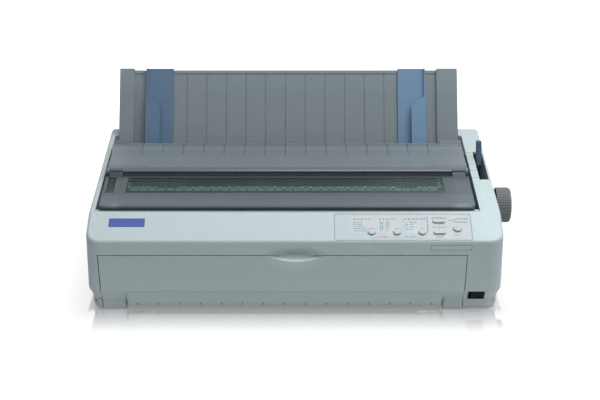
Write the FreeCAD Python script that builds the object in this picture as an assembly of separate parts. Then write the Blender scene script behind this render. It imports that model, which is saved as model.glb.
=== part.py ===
import FreeCAD, Part
import math
import os

# Wide carriage dot matrix printer, in millimetres.
# Working frame: x from the body's mid plane, y from the fascia to the rear, z up from the floor.
# The finished pieces are moved so that the origin is the middle of the whole object's footprint.

# Shared fits
running_clearance = 0.08
sliding_gap = 0.3
seat_gap = 0.2
round_share = 0.999
panel_gap = 1.2
overrun = 5.0
sheet_steel = 2.0

# Body
body_width = 610.0
body_depth = 384.0
crease_height = 114.0
strip_depth = 57.0
strip_rise = 23.5
cheek_rise = 20.5
rear_round = 15.0
case_wall = 3.0
case_corner_radius = 20.0
case_edge_radius = 5.0
split_height = 34.5
base_inset = 10.0
base_side_inset = 5.0
base_chamfer_height = 17.5
base_edge_radius = 4.0
foot_height = 2.0

# Opening under the lid and the rear trough
left_cheek_width = 8.7
right_cheek_width = 30.3
cheek_lining = 2.5
lining_depth = 38.0
trough_height = 118.0
trough_depth = 44.0
ledge_height = 135.4
ledge_depth = 13.0

# Release lever slot in the right cheek
slot_outer_margin = 4.5
slot_width = 14.5
slot_reach_front = 56.0
slot_reach_rear = 48.6
slot_mark_width = 9.0
slot_mark_length = 1.2
slot_mark_depth = 0.5
slot_mark_gap = 2.4
slot_mark_shares = (0.067, 0.315, 0.545, 0.966)

# Front cover
cover_left_margin = 18.0
cover_right_margin = 54.0
cover_taper = 3.0
cover_height = 91.0
cover_thickness = 3.0
cover_ground_gap = 1.6
exit_left_margin = 38.0
exit_right_margin = 32.0
exit_slit_width = 1.6
exit_slit_top = 15.0
lip_bottom = 7.6
lip_top_drop = 1.2
lip_mid_y = 3.4
lip_mid_z = 16.0
lip_foot_y = 7.2
lip_foot_z = 8.8
lip_mark_left_margin = 15.2
lip_mark_right_margin = 17.4
lip_mark_count = 15
lip_mark_width = 1.8
lip_mark_depth = 0.8
lip_mark_height = 5.5
cover_hinge_y = 18.0
cover_hinge_z = 12.0
cover_pin_radius = 2.5
cover_lug_radius = 5.0
cover_lug_thickness = 4.0
cover_lug_inset = 6.0
cover_bracket_thickness = 4.5
cover_swing_room = 32.0
scoop_offset = 2.1
scoop_width = 82.0
scoop_drop = 9.5
scoop_depth = 10.0
scoop_lean = 35.0
scoop_wall = 2.5
fascia_scoop_depth = 2.0
fascia_scoop_width = 96.0
fascia_scoop_height = 18.0

# Control panel on the front strip, with places measured along the strip from the crease
panel_margin = 46.5
panel_width = 200.2
panel_low = 2.8
panel_high = 56.3
panel_corner_radius = 3.0
panel_thickness = 1.6
panel_ledge = 5.0
panel_groove = 0.5
button_rise = 2.4
button_stem_inset = 2.5
button_travel = 0.8
button_flange = 1.2
button_flange_thickness = 1.0
round_button_radius = 5.4
large_button_radius = 6.4
pill_length = 17.6
pill_width = 6.4
board_drop = 10.2
board_thickness = 1.6
board_margin = 8.0
switch_size = 6.0
switch_height = 2.6
panel_post_radius = 2.5
lamp_size = 2.0
round_button_shares = (0.27, 0.4545, 0.639)
round_button_row = 18.5
large_button_share = 0.899
large_button_row = 26.0
pill_share = 0.7657
feed_button_row = 40.4
eject_button_row = 17.4
lamp_row = 45.6
lamp_shares = (0.15, 0.176, 0.202, 0.335, 0.361, 0.388, 0.521, 0.5475)
alarm_lamp_share = 0.8816
alarm_lamp_row = 45.2
alarm_lamp_drop = 4.3

# Plates without lettering
badge_margin = 31.6
badge_width = 52.8
badge_low = 29.6
badge_high = 47.0
badge_thickness = 1.2
badge_proud = 0.4
label_margin = 47.5
label_width = 59.5
label_low = 100.0
label_high = 107.7
label_depth = 0.5

# Power switch on the base chamfer, with heights measured along the chamfer
switch_margin = 25.4
switch_width = 24.2
switch_low = 1.2
switch_high = 18.4
switch_proud = 0.8
switch_body_depth = 15.0
switch_rim = 2.0
rocker_pin_radius = 1.5
rocker_pin_depth = 5.0
rocker_depth = 7.0
rocker_dish = 1.4
rocker_side_gap = 0.9
rocker_taper_share = 0.9
rocker_tilt = 6.0

# Rear cover with its grooves
rear_cover_left_gap = 5.6
rear_cover_right_gap = 6.7
rear_cover_setback = 6.5
rear_cover_margin = 97.5
rear_cover_front_z = 156.0
rear_cover_nose_z = 158.2
rear_cover_nose_depth = 2.5
rear_cover_band_share = 0.5381
rear_cover_band_z = 159.8
rear_cover_crest_z = 163.0
rear_cover_rear_drop = 6.0
rear_cover_thickness = 3.0
rear_skirt = 8.0
rear_groove_left_margin = 47.2
rear_groove_right_margin = 55.1
rear_groove_count = 15
rear_groove_width = 1.4
rear_groove_depth = 1.2
rear_groove_end_gap = 2.0
front_step_length = 62.0
front_step_width = 8.0
front_step_setback = 3.0
front_step_sink = 0.5
end_wedge_left = 25.0
end_wedge_right = 34.4
end_wedge_depth = 10.0
end_wedge_height = 4.8
end_wedge_round = 1.2
rear_hinge_setback = 10.5
rear_hinge_z = 145.5
rear_hinge_radius = 3.0
rear_arm_radius = 6.0
rear_arm_thickness = 4.0

# Lid rod and printer lid
hinge_rod_share = 0.4557
hinge_rod_z = 156.0
hinge_rod_radius = 2.8
rod_bracket_thickness = 4.0
rod_bracket_radius = 4.4
lid_front_gap = 6.0
lid_front_z = 144.0
lid_rear_gap = 7.0
lid_rear_z = 151.6
lid_thickness = 2.5
lid_nose = 2.4
lid_skirt_rake = 3.0
lid_skirt_bottom = 136.0
lid_corner_radius = 6.0
window_left_margin = 34.7
window_right_margin = 41.0
window_front_margin = 45.0
window_rear_margin = 7.0
lever_window_margin = 4.5
lever_window_width = 12.2
window_thickness = 1.8
window_sink = 0.3
knuckle_radius = 3.8
knuckle_length = 20.0
knuckle_gap = 0.6

# Paper guide, drawn upright and then leaned back
guide_left_gap = 6.8
guide_right_gap = 6.0
rear_post_gap = 1.3
guide_margin = 62.5
guide_foot_z = 135.0
guide_lean = 30.65
guide_height = 140.0
guide_foot_drop = 4.0
pillar_left_width = 23.8
pillar_right_width = 34.2
pillar_depth = 12.0
pillar_wall = 2.5
slab_setback = 5.0
slab_thickness = 3.0
rail_height = 5.5
rail_drop = 2.2
rail_proud = 1.0
rail_depth = 5.0
guide_groove_margin = 22.0
guide_groove_count = 15
guide_groove_width = 1.2
guide_groove_depth = 0.8
guide_rib_height = 3.0
guide_rib_thickness = 2.0
guide_pivot_depth = 3.0
guide_barrel_radius = 4.5
guide_pin_radius = 3.0

# Blue sheet edge guides
edge_guide_left_margin = 43.9
edge_guide_right_margin = 53.4
edge_guide_width = 44.9
edge_guide_thickness = 2.0
edge_guide_bottom = 12.0
edge_flange_depth = 11.0
edge_flap_width = 23.5
edge_flap_outer_height = 91.5
edge_flap_knee_height = 82.0
edge_flap_inner_height = 74.0
edge_flap_knee_share = 0.72
edge_hook_drop = 8.0

# Steel base frame and side frames
base_bottom = 8.0
base_thickness = 1.5
base_left_margin = 29.0
base_right_margin = 35.0
base_front_y = 40.0
base_rear_margin = 28.0
base_flange = 8.0
base_boss_radius = 6.0
base_boss_margin = 22.0
left_frame_margin = 39.0
right_frame_margin = 73.0
frame_front_reach = 111.0
frame_rear_reach = 119.0
frame_cradle_z = 118.0
frame_tower_front_reach = 47.0
frame_tower_rear_reach = 51.0
frame_tower_z = 128.0
frame_tower_slope = 6.0
frame_tail_z = 102.0
frame_foot_width = 14.0

# Platen, knob and feed gears
platen_setback = 2.0
platen_z = 113.3
platen_radius = 15.0
platen_left_gap = 16.0
platen_right_gap = 10.0
platen_shaft_radius = 5.0
bush_wall = 3.0
bush_overhang = 2.0
gear_module = 1.0
gear_width = 8.0
gear_gap = 0.5
gear_addendum_share = 0.85
gear_dedendum_share = 1.2
gear_thinning_share = 0.06
pressure_angle = 20.0
flank_points = 3
platen_teeth = 36
knob_teeth = 24
pinion_teeth = 12
idler_teeth = 40
tractor_teeth = 32
pinion_direction = -60.0
gear_stud_radius = 3.0
knob_shaft_radius = 4.0
knob_radius = 27.0
knob_gap = 3.0
knob_length = 22.8
knob_hub_radius = 11.0
knob_hub_gap = 0.8
knob_groove_count = 40
knob_groove_radius = 1.4
knob_groove_depth = 0.9
knob_rim_radius = 5.0
knob_hollow_depth = 8.0
knob_hollow_inner = 14.0
knob_hollow_outer = 23.5
wall_hole_radius = 6.0

# Feed motor
motor_gap = 1.8
feed_motor_radius = 18.0
feed_motor_length = 21.0
motor_plate = 1.7
motor_shaft_radius = 1.8
motor_bore_depth = 8.0
motor_post_radius = 2.5
motor_post_spread = 17.0
motor_post_drop = 18.0
motor_plate_margin = 5.0

# Tractors
tractor_distance = 67.0
tractor_z = 88.0
tractor_shaft_radius = 4.0
tractor_span = 32.0
tractor_width = 26.0
tractor_left_inset = 64.0
tractor_right_inset = 54.0
tractor_nose = 14.0
tractor_low = 10.0
tractor_high = 12.0
tractor_pin_radius = 1.3
tractor_pin_height = 2.4
tractor_pin_pitch = 12.7
tractor_pin_count = 4
flap_thickness = 2.0
flap_width = 24.0
flap_gap = 3.0
flap_slot_width = 5.0
flap_slot_end = 3.0
flap_pin_radius = 1.2
flap_knuckle_radius = 2.6
flap_ear_length = 5.0

# Carriage, its shaft and rail
carriage_inset = 102.0
carriage_width = 60.0
carriage_shaft_distance = 55.0
carriage_shaft_z = 82.0
carriage_shaft_radius = 5.0
carriage_front = 15.0
carriage_back = 15.0
carriage_low = 12.0
carriage_high = 12.0
rail_distance = 44.0
rail_low_z = 66.0
rail_high_z = 84.0
arm_height = 5.0
arm_rise = 2.0
arm_lip = 3.6
arm_lip_drop = 8.0
arm_width = 40.0
clamp_width = 12.0
clamp_wall = 1.4
head_width = 32.0
head_front = 6.0
head_depth = 28.0
head_height = 28.0
head_fin_count = 6
head_fin_depth = 7.0
head_fin_gap = 2.4
nose_width = 14.0
nose_height = 14.6
nose_tip_width = 7.0
head_ribbon_gap = 0.3
ribbon_platen_gap = 0.9

# Belt drive
belt_distance = 20.0
belt_low_z = 60.0
belt_width = 6.0
belt_thickness = 1.2
pulley_radius = 8.0
pulley_flange = 2.0
pulley_flange_thickness = 1.0
drive_pulley_inset = 23.0
idler_pulley_inset = 19.0
pulley_pin_radius = 2.5
motor_tab_gap = 2.8
motor_tab_margin = 19.0
carriage_motor_radius = 17.0
carriage_motor_height = 30.0
carriage_motor_bore = 12.0

# Ribbon cartridge
cartridge_overhang = 8.0
cartridge_distance = 68.0
cartridge_depth = 33.0
cartridge_height = 14.0
cartridge_edge_radius = 2.0
cartridge_arm_gap = 4.0
cartridge_arm_left_width = 26.0
cartridge_arm_right_width = 16.0
cartridge_arm_low_z = 106.5
ribbon_thickness = 0.3
ribbon_height = 13.0
ribbon_knob_inset = 74.0
ribbon_knob_radius = 9.0
ribbon_knob_height = 5.0
ribbon_knob_groove_count = 14
ribbon_knob_groove_radius = 1.2
ribbon_knob_groove_depth = 0.7
ribbon_stem_radius = 3.0
ribbon_stem_depth = 6.0

# Paper path sheets
chute_left_inset = 46.0
chute_right_inset = 37.0
chute_thickness = 1.5
chute_foot_reach = 129.0
chute_foot_z = 14.0
chute_bend_reach = 111.0
chute_bend_z = 18.0
chute_rise_reach = 55.0
chute_rise_z = 44.0
chute_head_reach = 20.0
chute_head_z = 88.0
chute_rib_thickness = 2.0
chute_rib_shares = (0.06, 0.5, 0.94)
pan_gap = 2.0
pan_thickness = 1.5
pan_start = 205.0
pan_sweep = 130.0

# Release lever and its bracket
lever_margin = 12.0
lever_pivot_distance = 52.0
lever_pivot_z = 60.0
lever_lean = 14.2
lever_length = 122.0
lever_grip_length = 41.0
lever_grip_width = 8.7
lever_grip_depth = 10.0
lever_grip_radius = 2.0
lever_stem_thickness = 3.0
lever_stem_width = 9.0
lever_eye_radius = 8.0
lever_pin_radius = 3.0
lever_groove_count = 4
lever_groove_pitch = 2.6
lever_groove_depth = 0.6
lever_groove_height = 1.0
lever_bracket_gap = 7.0
lever_bracket_width = 22.0
lever_bracket_top = 9.0

# Paper thickness lever
thickness_lever_gap = 16.0
thickness_lever_width = 5.0
thickness_pivot_distance = 65.0
thickness_pivot_z = 84.0
thickness_pin_radius = 3.0
thickness_eye_radius = 7.0
thickness_knee_reach = 18.0
thickness_knee_rise = 48.0
thickness_tip_reach = 64.0
thickness_tip_rise = 58.0
thickness_arm = 7.0

# Boards and rear connections
standoff_radius = 3.0
standoff_height = 6.0
pcb_depth = 154.0
pcb_rear_margin = 10.0
main_pcb_margin = 24.0
main_pcb_right = 30.0
supply_left = 5.0
supply_margin = 55.0
pcb_corner = 8.0
inlet_margin = 65.0
inlet_width = 28.0
inlet_low = 42.0
inlet_height = 22.0
inlet_body_depth = 20.0
inlet_flange = 2.0
inlet_flange_thickness = 1.4
inlet_wall = 2.4
inlet_socket_depth = 16.0
inlet_pin_width = 1.8
inlet_pin_height = 4.2
inlet_pin_pitch = 6.6
port_low = 42.0
parallel_margin = 155.0
parallel_width = 66.0
parallel_height = 14.0
usb_margin = 220.0
usb_width = 13.0
usb_height = 12.0
port_body_depth = 14.0
port_wall = 1.6
port_socket_depth = 8.0
port_tongue = 3.4
port_flange = 2.0
port_flange_thickness = 1.4

# Parts on the boards, as shares of the board's width and depth and of the tallest part's height:
# place from the board's front left corner, then width, depth and height
tallest_part = 42.0
capacitor_radius = 12.0
chip_shares = (
    (0.135, 0.195, 0.162, 0.234, 0.095),
    (0.405, 0.221, 0.117, 0.169, 0.083),
    (0.631, 0.195, 0.090, 0.286, 0.083),
    (0.153, 0.623, 0.270, 0.091, 0.524),
    (0.541, 0.649, 0.315, 0.065, 0.286),
    (0.063, 0.870, 0.405, 0.052, 0.238),
)
supply_shares = (
    (0.114, 0.364, 0.295, 0.351, 1.0),
    (0.524, 0.195, 0.381, 0.052, 0.810),
    (0.714, 0.623, 0.162, 0.182, 0.619),
)
capacitor_shares = (
    (0.143, 0.182, 1.0, 0.810),
    (0.286, 0.182, 1.0, 0.810),
    (0.533, 0.779, 0.75, 0.667),
)

# Case screws, feet and vents
screw_place_shares = (-0.9, -0.16, 0.42, 0.9)
screw_height = 48.0
screw_head_radius = 4.0
screw_head_sink = 1.6
screw_radius = 2.0
screw_length = 6.5
screw_cross = 0.8
tab_width = 16.0
tab_depth = 6.0
tab_low = 22.0
tab_high = 60.0
foot_radius = 12.0
foot_margin_x = 36.0
foot_margin_y = 52.0
vent_count = 14
vent_width = 3.0
vent_pitch = 7.0
vent_low = 52.0
vent_height = 34.0
vent_first_x = 20.0

# Worked out from the sizes above
half_width = body_width / 2
open_left = -half_width + left_cheek_width
open_right = half_width - right_cheek_width
strip_angle = math.degrees(math.atan2(strip_rise, strip_depth))
strip_height = crease_height + strip_rise
cheek_run = body_depth - rear_round - strip_depth
case_top = strip_height + cheek_rise
trough_front_y = body_depth - trough_depth
chamfer_bottom = split_height - base_chamfer_height
chamfer_lean = math.degrees(math.atan2(base_inset, base_chamfer_height))
floor_inside = foot_height + case_wall

cover_left_top = half_width - cover_left_margin
cover_right_top = half_width - cover_right_margin
cover_left_foot = cover_left_top - cover_taper
cover_right_foot = cover_right_top - cover_taper
exit_left = cover_left_top - exit_left_margin
exit_right = cover_right_top - exit_right_margin
lip_mark_first = exit_left - lip_mark_left_margin
lip_mark_pitch = (lip_mark_first + exit_right - lip_mark_right_margin) / (lip_mark_count - 1)

panel_right = half_width - panel_margin
panel_left = panel_right - panel_width
round_button_columns = [panel_left + share * panel_width for share in round_button_shares]
large_button_column = panel_left + large_button_share * panel_width
pill_column = panel_left + pill_share * panel_width
badge_left = half_width - badge_margin
badge_right = badge_left - badge_width
label_right = half_width - label_margin
label_left = label_right - label_width
switch_right = half_width - switch_margin
switch_left = switch_right - switch_width

hinge_rod_y = body_depth * hinge_rod_share
rear_cover_left = -open_left - rear_cover_left_gap
rear_cover_right = open_right - rear_cover_right_gap
rear_cover_front_y = hinge_rod_y + rear_cover_setback
rear_cover_rear_y = body_depth - rear_cover_margin
rear_cover_band_y = rear_cover_front_y + rear_cover_band_share * (rear_cover_rear_y - rear_cover_front_y)
rear_groove_first = rear_cover_left - rear_groove_left_margin
rear_groove_last = rear_cover_right - rear_groove_right_margin
rear_groove_pitch = (rear_groove_first + rear_groove_last) / (rear_groove_count - 1)
rear_hinge_y = rear_cover_rear_y - rear_hinge_setback
lid_front_y = strip_depth + lid_front_gap
lid_rear_y = hinge_rod_y - lid_rear_gap
window_left = rear_cover_left - window_left_margin
window_right = rear_cover_right - window_right_margin
lever_window_left = -rear_cover_left + lever_window_margin
lever_window_right = lever_window_left + lever_window_width
window_front_y = lid_front_y + window_front_margin
window_rear_y = lid_rear_y - window_rear_margin

guide_left = -open_left - guide_left_gap
guide_right = open_right - guide_right_gap
guide_foot_y = body_depth - guide_margin
guide_groove_first = guide_left - pillar_left_width - guide_groove_margin
guide_groove_last = guide_right - pillar_right_width - guide_groove_margin
guide_groove_pitch = (guide_groove_first + guide_groove_last) / (guide_groove_count - 1)
edge_guide_left = guide_left - edge_guide_left_margin
edge_guide_right = guide_right - edge_guide_right_margin

base_top = base_bottom + base_thickness
base_left = half_width - base_left_margin
base_right = half_width - base_right_margin
base_rear_y = body_depth - base_rear_margin
left_frame_x = half_width - left_frame_margin
right_frame_x = half_width - right_frame_margin
platen_y = hinge_rod_y - platen_setback
platen_left = left_frame_x - platen_left_gap
platen_right = right_frame_x - platen_right_gap
frame_front_y = platen_y - frame_front_reach
frame_rear_y = platen_y + frame_rear_reach
frame_tower_front_y = platen_y - frame_tower_front_reach
frame_tower_rear_y = platen_y + frame_tower_rear_reach
gear_start_x = right_frame_x + sheet_steel + bush_overhang + gear_gap
gear_end_x = gear_start_x + gear_width
knob_inner_x = half_width + knob_gap
knob_outer_x = knob_inner_x + knob_length
tractor_y = platen_y + tractor_distance
tractor_left_x = left_frame_x - tractor_left_inset
tractor_right_x = right_frame_x - tractor_right_inset

carriage_x = right_frame_x - carriage_inset
carriage_shaft_y = platen_y - carriage_shaft_distance
rail_y = carriage_shaft_y - rail_distance
belt_y = carriage_shaft_y - belt_distance
drive_pulley_x = left_frame_x - drive_pulley_inset
idler_pulley_x = right_frame_x - idler_pulley_inset
cartridge_left = left_frame_x + cartridge_overhang
cartridge_right = right_frame_x + cartridge_overhang
cartridge_rear_y = platen_y - cartridge_distance
cartridge_front_y = cartridge_rear_y - cartridge_depth
cartridge_arm_left_out = left_frame_x - cartridge_arm_gap
cartridge_arm_right_out = right_frame_x - cartridge_arm_gap
cartridge_arm_left_in = cartridge_arm_left_out - cartridge_arm_left_width
cartridge_arm_right_in = cartridge_arm_right_out - cartridge_arm_right_width
ribbon_knob_x = cartridge_left - ribbon_knob_inset
chute_left = left_frame_x - chute_left_inset
chute_right = right_frame_x - chute_right_inset
chute_foot = (platen_y - chute_foot_reach, chute_foot_z)
chute_bend = (platen_y - chute_bend_reach, chute_bend_z)
chute_rise = (platen_y - chute_rise_reach, chute_rise_z)
chute_head = (platen_y - chute_head_reach, chute_head_z)

lever_x = half_width - lever_margin
lever_bracket_x = lever_x - lever_bracket_gap
lever_pivot_y = platen_y + lever_pivot_distance
slot_right = half_width - slot_outer_margin
slot_left = slot_right - slot_width
slot_front_y = lever_pivot_y - slot_reach_front
slot_rear_y = lever_pivot_y + slot_reach_rear
slot_mark_places = [slot_front_y + share * (slot_rear_y - slot_front_y) for share in slot_mark_shares]
thickness_lever_x = left_frame_x + thickness_lever_gap
thickness_pivot_y = platen_y - thickness_pivot_distance
thickness_knee = (thickness_pivot_y + thickness_knee_reach, thickness_pivot_z + thickness_knee_rise)
thickness_tip = (thickness_pivot_y + thickness_tip_reach, thickness_pivot_z + thickness_tip_rise)

pcb_rear_y = base_rear_y - pcb_rear_margin
pcb_front_y = pcb_rear_y - pcb_depth
main_pcb_left = base_left - main_pcb_margin
supply_right = base_right - supply_margin
inlet_x = half_width - inlet_margin
parallel_x = half_width - parallel_margin
usb_x = half_width - usb_margin
screw_places = [share * half_width for share in screw_place_shares]


def point(x, y, z):
    return FreeCAD.Vector(x, y, z)


along_x = point(1, 0, 0)
along_y = point(0, 1, 0)
along_z = point(0, 0, 1)


# Shape helpers


def block(x0, x1, y0, y1, z0, z1):
    return Part.makeBox(x1 - x0, y1 - y0, z1 - z0, point(x0, y0, z0))


def rod_x(x0, x1, y, z, radius):
    return Part.makeCylinder(radius, x1 - x0, point(x0, y, z), along_x)


def rod_y(x, y0, y1, z, radius):
    return Part.makeCylinder(radius, y1 - y0, point(x, y0, z), along_y)


def rod_z(x, y, z0, z1, radius):
    return Part.makeCylinder(radius, z1 - z0, point(x, y, z0), along_z)


def extrude(corners, way):
    wire = Part.makePolygon(corners + [corners[0]])
    return Part.Face(wire).extrude(way)


def plate_x(outline, x0, x1):
    corners = [point(x0, y, z) for y, z in outline]
    return extrude(corners, point(x1 - x0, 0, 0))


def plate_y(outline, y0, y1):
    corners = [point(x, y0, z) for x, z in outline]
    return extrude(corners, point(0, y1 - y0, 0))


def plate_z(outline, z0, z1):
    corners = [point(x, y, z0) for x, y in outline]
    return extrude(corners, point(0, 0, z1 - z0))


def join(shapes):
    shapes = list(shapes)
    solid = shapes[0].fuse(shapes[1:]) if len(shapes) > 1 else shapes[0]
    return solid.removeSplitter()


def cut(shape, tools):
    return shape.cut(list(tools))


def turn_x(shape, y, z, degrees):
    turned = shape.copy()
    turned.rotate(point(0, y, z), along_x, degrees)
    return turned


def group(shapes):
    return Part.makeCompound(list(shapes))


def inset(outline, distance):
    """Move every side of a convex outline inwards; the outline runs anticlockwise."""
    moved = []
    count = len(outline)
    for index in range(count):
        before = outline[index - 1]
        here = outline[index]
        after = outline[(index + 1) % count]
        angle_in = math.atan2(here[1] - before[1], here[0] - before[0])
        angle_out = math.atan2(after[1] - here[1], after[0] - here[0])
        middle = (angle_in + angle_out) / 2
        if abs(angle_in - angle_out) > math.pi:
            middle += math.pi
        reach = distance / math.cos(middle - angle_in)
        moved.append((here[0] - reach * math.sin(middle), here[1] + reach * math.cos(middle)))
    return moved


def band(path, thickness):
    """Closed outline of a sheet that follows an open path on its left side."""
    far_side = []
    last = len(path) - 1
    for index, here in enumerate(path):
        before = path[max(index - 1, 0)]
        after = path[min(index + 1, last)]
        first = math.atan2(here[1] - before[1], here[0] - before[0]) if index > 0 else None
        second = math.atan2(after[1] - here[1], after[0] - here[0]) if index < last else None
        angle_in = second if first is None else first
        angle_out = first if second is None else second
        middle = (angle_in + angle_out) / 2
        reach = thickness / math.cos(middle - angle_in)
        far_side.append((here[0] - reach * math.sin(middle), here[1] + reach * math.cos(middle)))
    return list(path) + far_side[::-1]


def round_plan(left, right, front, rear, z, radius):
    """Rounded rectangle as a closed wire at height z."""
    corners = ((right, rear, 0), (left, rear, 90), (left, front, 180), (right, front, 270))
    edges = []
    ends = []
    for x, y, start in corners:
        centre_x = x - math.copysign(radius, x - (left + right) / 2)
        centre_y = y - math.copysign(radius, y - (front + rear) / 2)
        places = []
        for degrees in (start, start + 45, start + 90):
            angle = math.radians(degrees)
            places.append(point(centre_x + radius * math.cos(angle), centre_y + radius * math.sin(angle), z))
        ends.append((places[0], places[2]))
        edges.append(Part.Arc(*places).toShape())
    wire_edges = []
    for index in range(len(corners)):
        wire_edges.append(edges[index])
        following = ends[(index + 1) % len(corners)]
        wire_edges.append(Part.LineSegment(ends[index][1], following[0]).toShape())
    return Part.Wire(wire_edges)


def round_block(left, right, front, rear, z0, z1, radius):
    return Part.Face(round_plan(left, right, front, rear, z0, radius)).extrude(point(0, 0, z1 - z0))


def ring_places(count, radius):
    """Places evenly spread on a circle about the origin."""
    angles = [2 * math.pi * index / count for index in range(count)]
    return [(radius * math.cos(angle), radius * math.sin(angle)) for angle in angles]


# Gears


def involute_turn(ratio):
    return math.sqrt(ratio * ratio - 1) - math.acos(1 / ratio)


def gear_outline(teeth, first_angle):
    """Tooth outline about the origin; first_angle is where the first tooth's middle points."""
    pitch_radius = gear_module * teeth / 2
    base_radius = pitch_radius * math.cos(math.radians(pressure_angle))
    tip_radius = pitch_radius + gear_module * gear_addendum_share
    root_radius = pitch_radius - gear_module * gear_dedendum_share
    half_tooth = math.pi / 2 / teeth * (1 - 2 * gear_thinning_share)
    pitch_turn = involute_turn(pitch_radius / base_radius)
    low = max(base_radius, root_radius)
    flank = []
    for index in range(flank_points):
        radius = low + (tip_radius - low) * index / (flank_points - 1)
        flank.append((radius, half_tooth + pitch_turn - involute_turn(radius / base_radius)))
    outline = []
    for tooth in range(teeth):
        middle = math.radians(first_angle) + 2 * math.pi * tooth / teeth
        rising = [(root_radius, -flank[0][1])] + [(radius, -turn) for radius, turn in flank]
        falling = [(radius, turn) for radius, turn in flank[::-1]] + [(root_radius, flank[0][1])]
        for radius, turn in rising + falling:
            outline.append((radius * math.cos(middle + turn), radius * math.sin(middle + turn)))
    return outline


def gear_x(teeth, y, z, first_angle, bore_radius):
    outline = [(y + dy, z + dz) for dy, dz in gear_outline(teeth, first_angle)]
    wheel = plate_x(outline, gear_start_x, gear_end_x)
    return cut(wheel, [rod_x(gear_start_x - overrun, gear_end_x + overrun, y, z, bore_radius)])


def meshed_angle(teeth, leader_teeth, leader_angle, direction):
    """First tooth angle of a gear that lies in that direction from its leader."""
    leader_pitch = 360 / leader_teeth
    offset = (leader_angle - direction) % leader_pitch
    travel = (offset / leader_pitch + 0.5) * 360 / teeth
    return direction + 180 - travel


def distance_between(first_teeth, second_teeth):
    return gear_module * (first_teeth + second_teeth) / 2


def gear_centre(direction, distance):
    angle = math.radians(direction)
    return platen_y + distance * math.cos(angle), platen_z + distance * math.sin(angle)


def idler_direction():
    """Direction from the platen to the idler that also meshes with the tractor gear."""
    to_idler = distance_between(platen_teeth, idler_teeth)
    to_tractor = distance_between(idler_teeth, tractor_teeth)
    span_y = tractor_y - platen_y
    span_z = tractor_z - platen_z
    span = math.hypot(span_y, span_z)
    cosine = (to_idler ** 2 + span ** 2 - to_tractor ** 2) / (2 * to_idler * span)
    return math.degrees(math.atan2(span_z, span_y) + math.acos(cosine))


platen_angle = 0.0
knob_y, knob_z = gear_centre(180, distance_between(platen_teeth, knob_teeth))
knob_angle = meshed_angle(knob_teeth, platen_teeth, platen_angle, 180)
pinion_y, pinion_z = gear_centre(pinion_direction, distance_between(platen_teeth, pinion_teeth))
pinion_angle = meshed_angle(pinion_teeth, platen_teeth, platen_angle, pinion_direction)
idler_way = idler_direction()
idler_y, idler_z = gear_centre(idler_way, distance_between(platen_teeth, idler_teeth))
idler_angle = meshed_angle(idler_teeth, platen_teeth, platen_angle, idler_way)
tractor_way = math.degrees(math.atan2(tractor_z - idler_z, tractor_y - idler_y))
tractor_angle = meshed_angle(tractor_teeth, idler_teeth, idler_angle, tractor_way)


# Places on the sloping faces


def on_strip(shape):
    """Carry a shape drawn flat, y along the strip and z out of it, onto the front strip."""
    placed = turn_x(shape, 0, 0, strip_angle)
    placed.translate(point(0, 0, crease_height))
    return placed


def on_chamfer(shape):
    """Carry a shape drawn upright, z up the chamfer and y inwards, onto the base chamfer."""
    placed = turn_x(shape, 0, 0, chamfer_lean)
    placed.translate(point(0, base_inset, chamfer_bottom))
    return placed


def on_guide(shape):
    """Carry a shape drawn upright, z up the guide and y to its rear, onto the paper guide."""
    placed = turn_x(shape, 0, 0, -guide_lean)
    placed.translate(point(0, guide_foot_y, guide_foot_z))
    return placed


def on_lever(shape):
    """Carry a shape drawn upright on the lever's pivot to the lever's leaning place."""
    placed = turn_x(shape, 0, 0, -lever_lean)
    placed.translate(point(0, lever_pivot_y, lever_pivot_z))
    return placed


# Casing


def case_profile():
    return [
        (0, split_height),
        (body_depth, split_height),
        (body_depth, case_top - rear_round),
        (body_depth - rear_round, case_top),
        (strip_depth, strip_height),
        (0, crease_height),
    ]


def case_solid(outline, margin, radius):
    body = plate_x(outline, -half_width + margin, half_width - margin)
    front = margin
    rear = body_depth - margin
    plan = round_block(-half_width + margin, half_width - margin, front, rear, 0, case_top + overrun, radius)
    return body.common(plan)


def rim_edges(solid):
    """Edges of the casing's top that are rounded: all but the foot, the corners and the ridge."""
    chosen = []
    for edge in solid.Edges:
        box = edge.BoundBox
        on_foot = box.ZMax < split_height + sheet_steel
        upright = box.ZLength > max(box.XLength, box.YLength) * 2 and box.ZMin < split_height + sheet_steel
        on_ridge = box.YLength < sheet_steel and abs(box.YMin - strip_depth) < sheet_steel
        if not (on_foot or upright or on_ridge):
            chosen.append(edge)
    return chosen


def cover_outline(margin):
    """Front cover seen from the front, grown by a margin on its sides and top."""
    slope = cover_taper / cover_height
    low = -overrun
    top = cover_height + margin
    return [
        (-cover_left_foot - margin + slope * overrun, low),
        (cover_right_foot + margin - slope * overrun, low),
        (cover_right_top + margin, top),
        (-cover_left_top - margin, top),
    ]


def panel_blank(margin, low, high, radius):
    return round_block(
        panel_left - margin, panel_right + margin, panel_low - margin, panel_high + margin, low, high, radius)


def strip_recesses():
    """Recess and window for the control panel, and the recess for the badge plate."""
    recess = panel_blank(panel_groove, -panel_thickness, overrun, panel_corner_radius)
    window = panel_blank(-panel_ledge, -overrun * 2, overrun, panel_corner_radius)
    badge = block(-badge_left, -badge_right, badge_low, badge_high, badge_proud - badge_thickness, overrun)
    return [on_strip(recess), on_strip(window), on_strip(badge)]


def fascia_scoop():
    """Shallow hollow over the cover's finger scoop that fades out upwards and sideways."""
    radius = (fascia_scoop_width / 2) ** 2 / (2 * fascia_scoop_depth)
    low = cover_height
    lean = math.degrees(math.atan2(fascia_scoop_depth, fascia_scoop_height))
    centre_y = fascia_scoop_depth - radius
    drum = rod_z(scoop_offset, centre_y, low - fascia_scoop_height, low + 2 * fascia_scoop_height, radius)
    return turn_x(drum, fascia_scoop_depth, low, lean)


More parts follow.
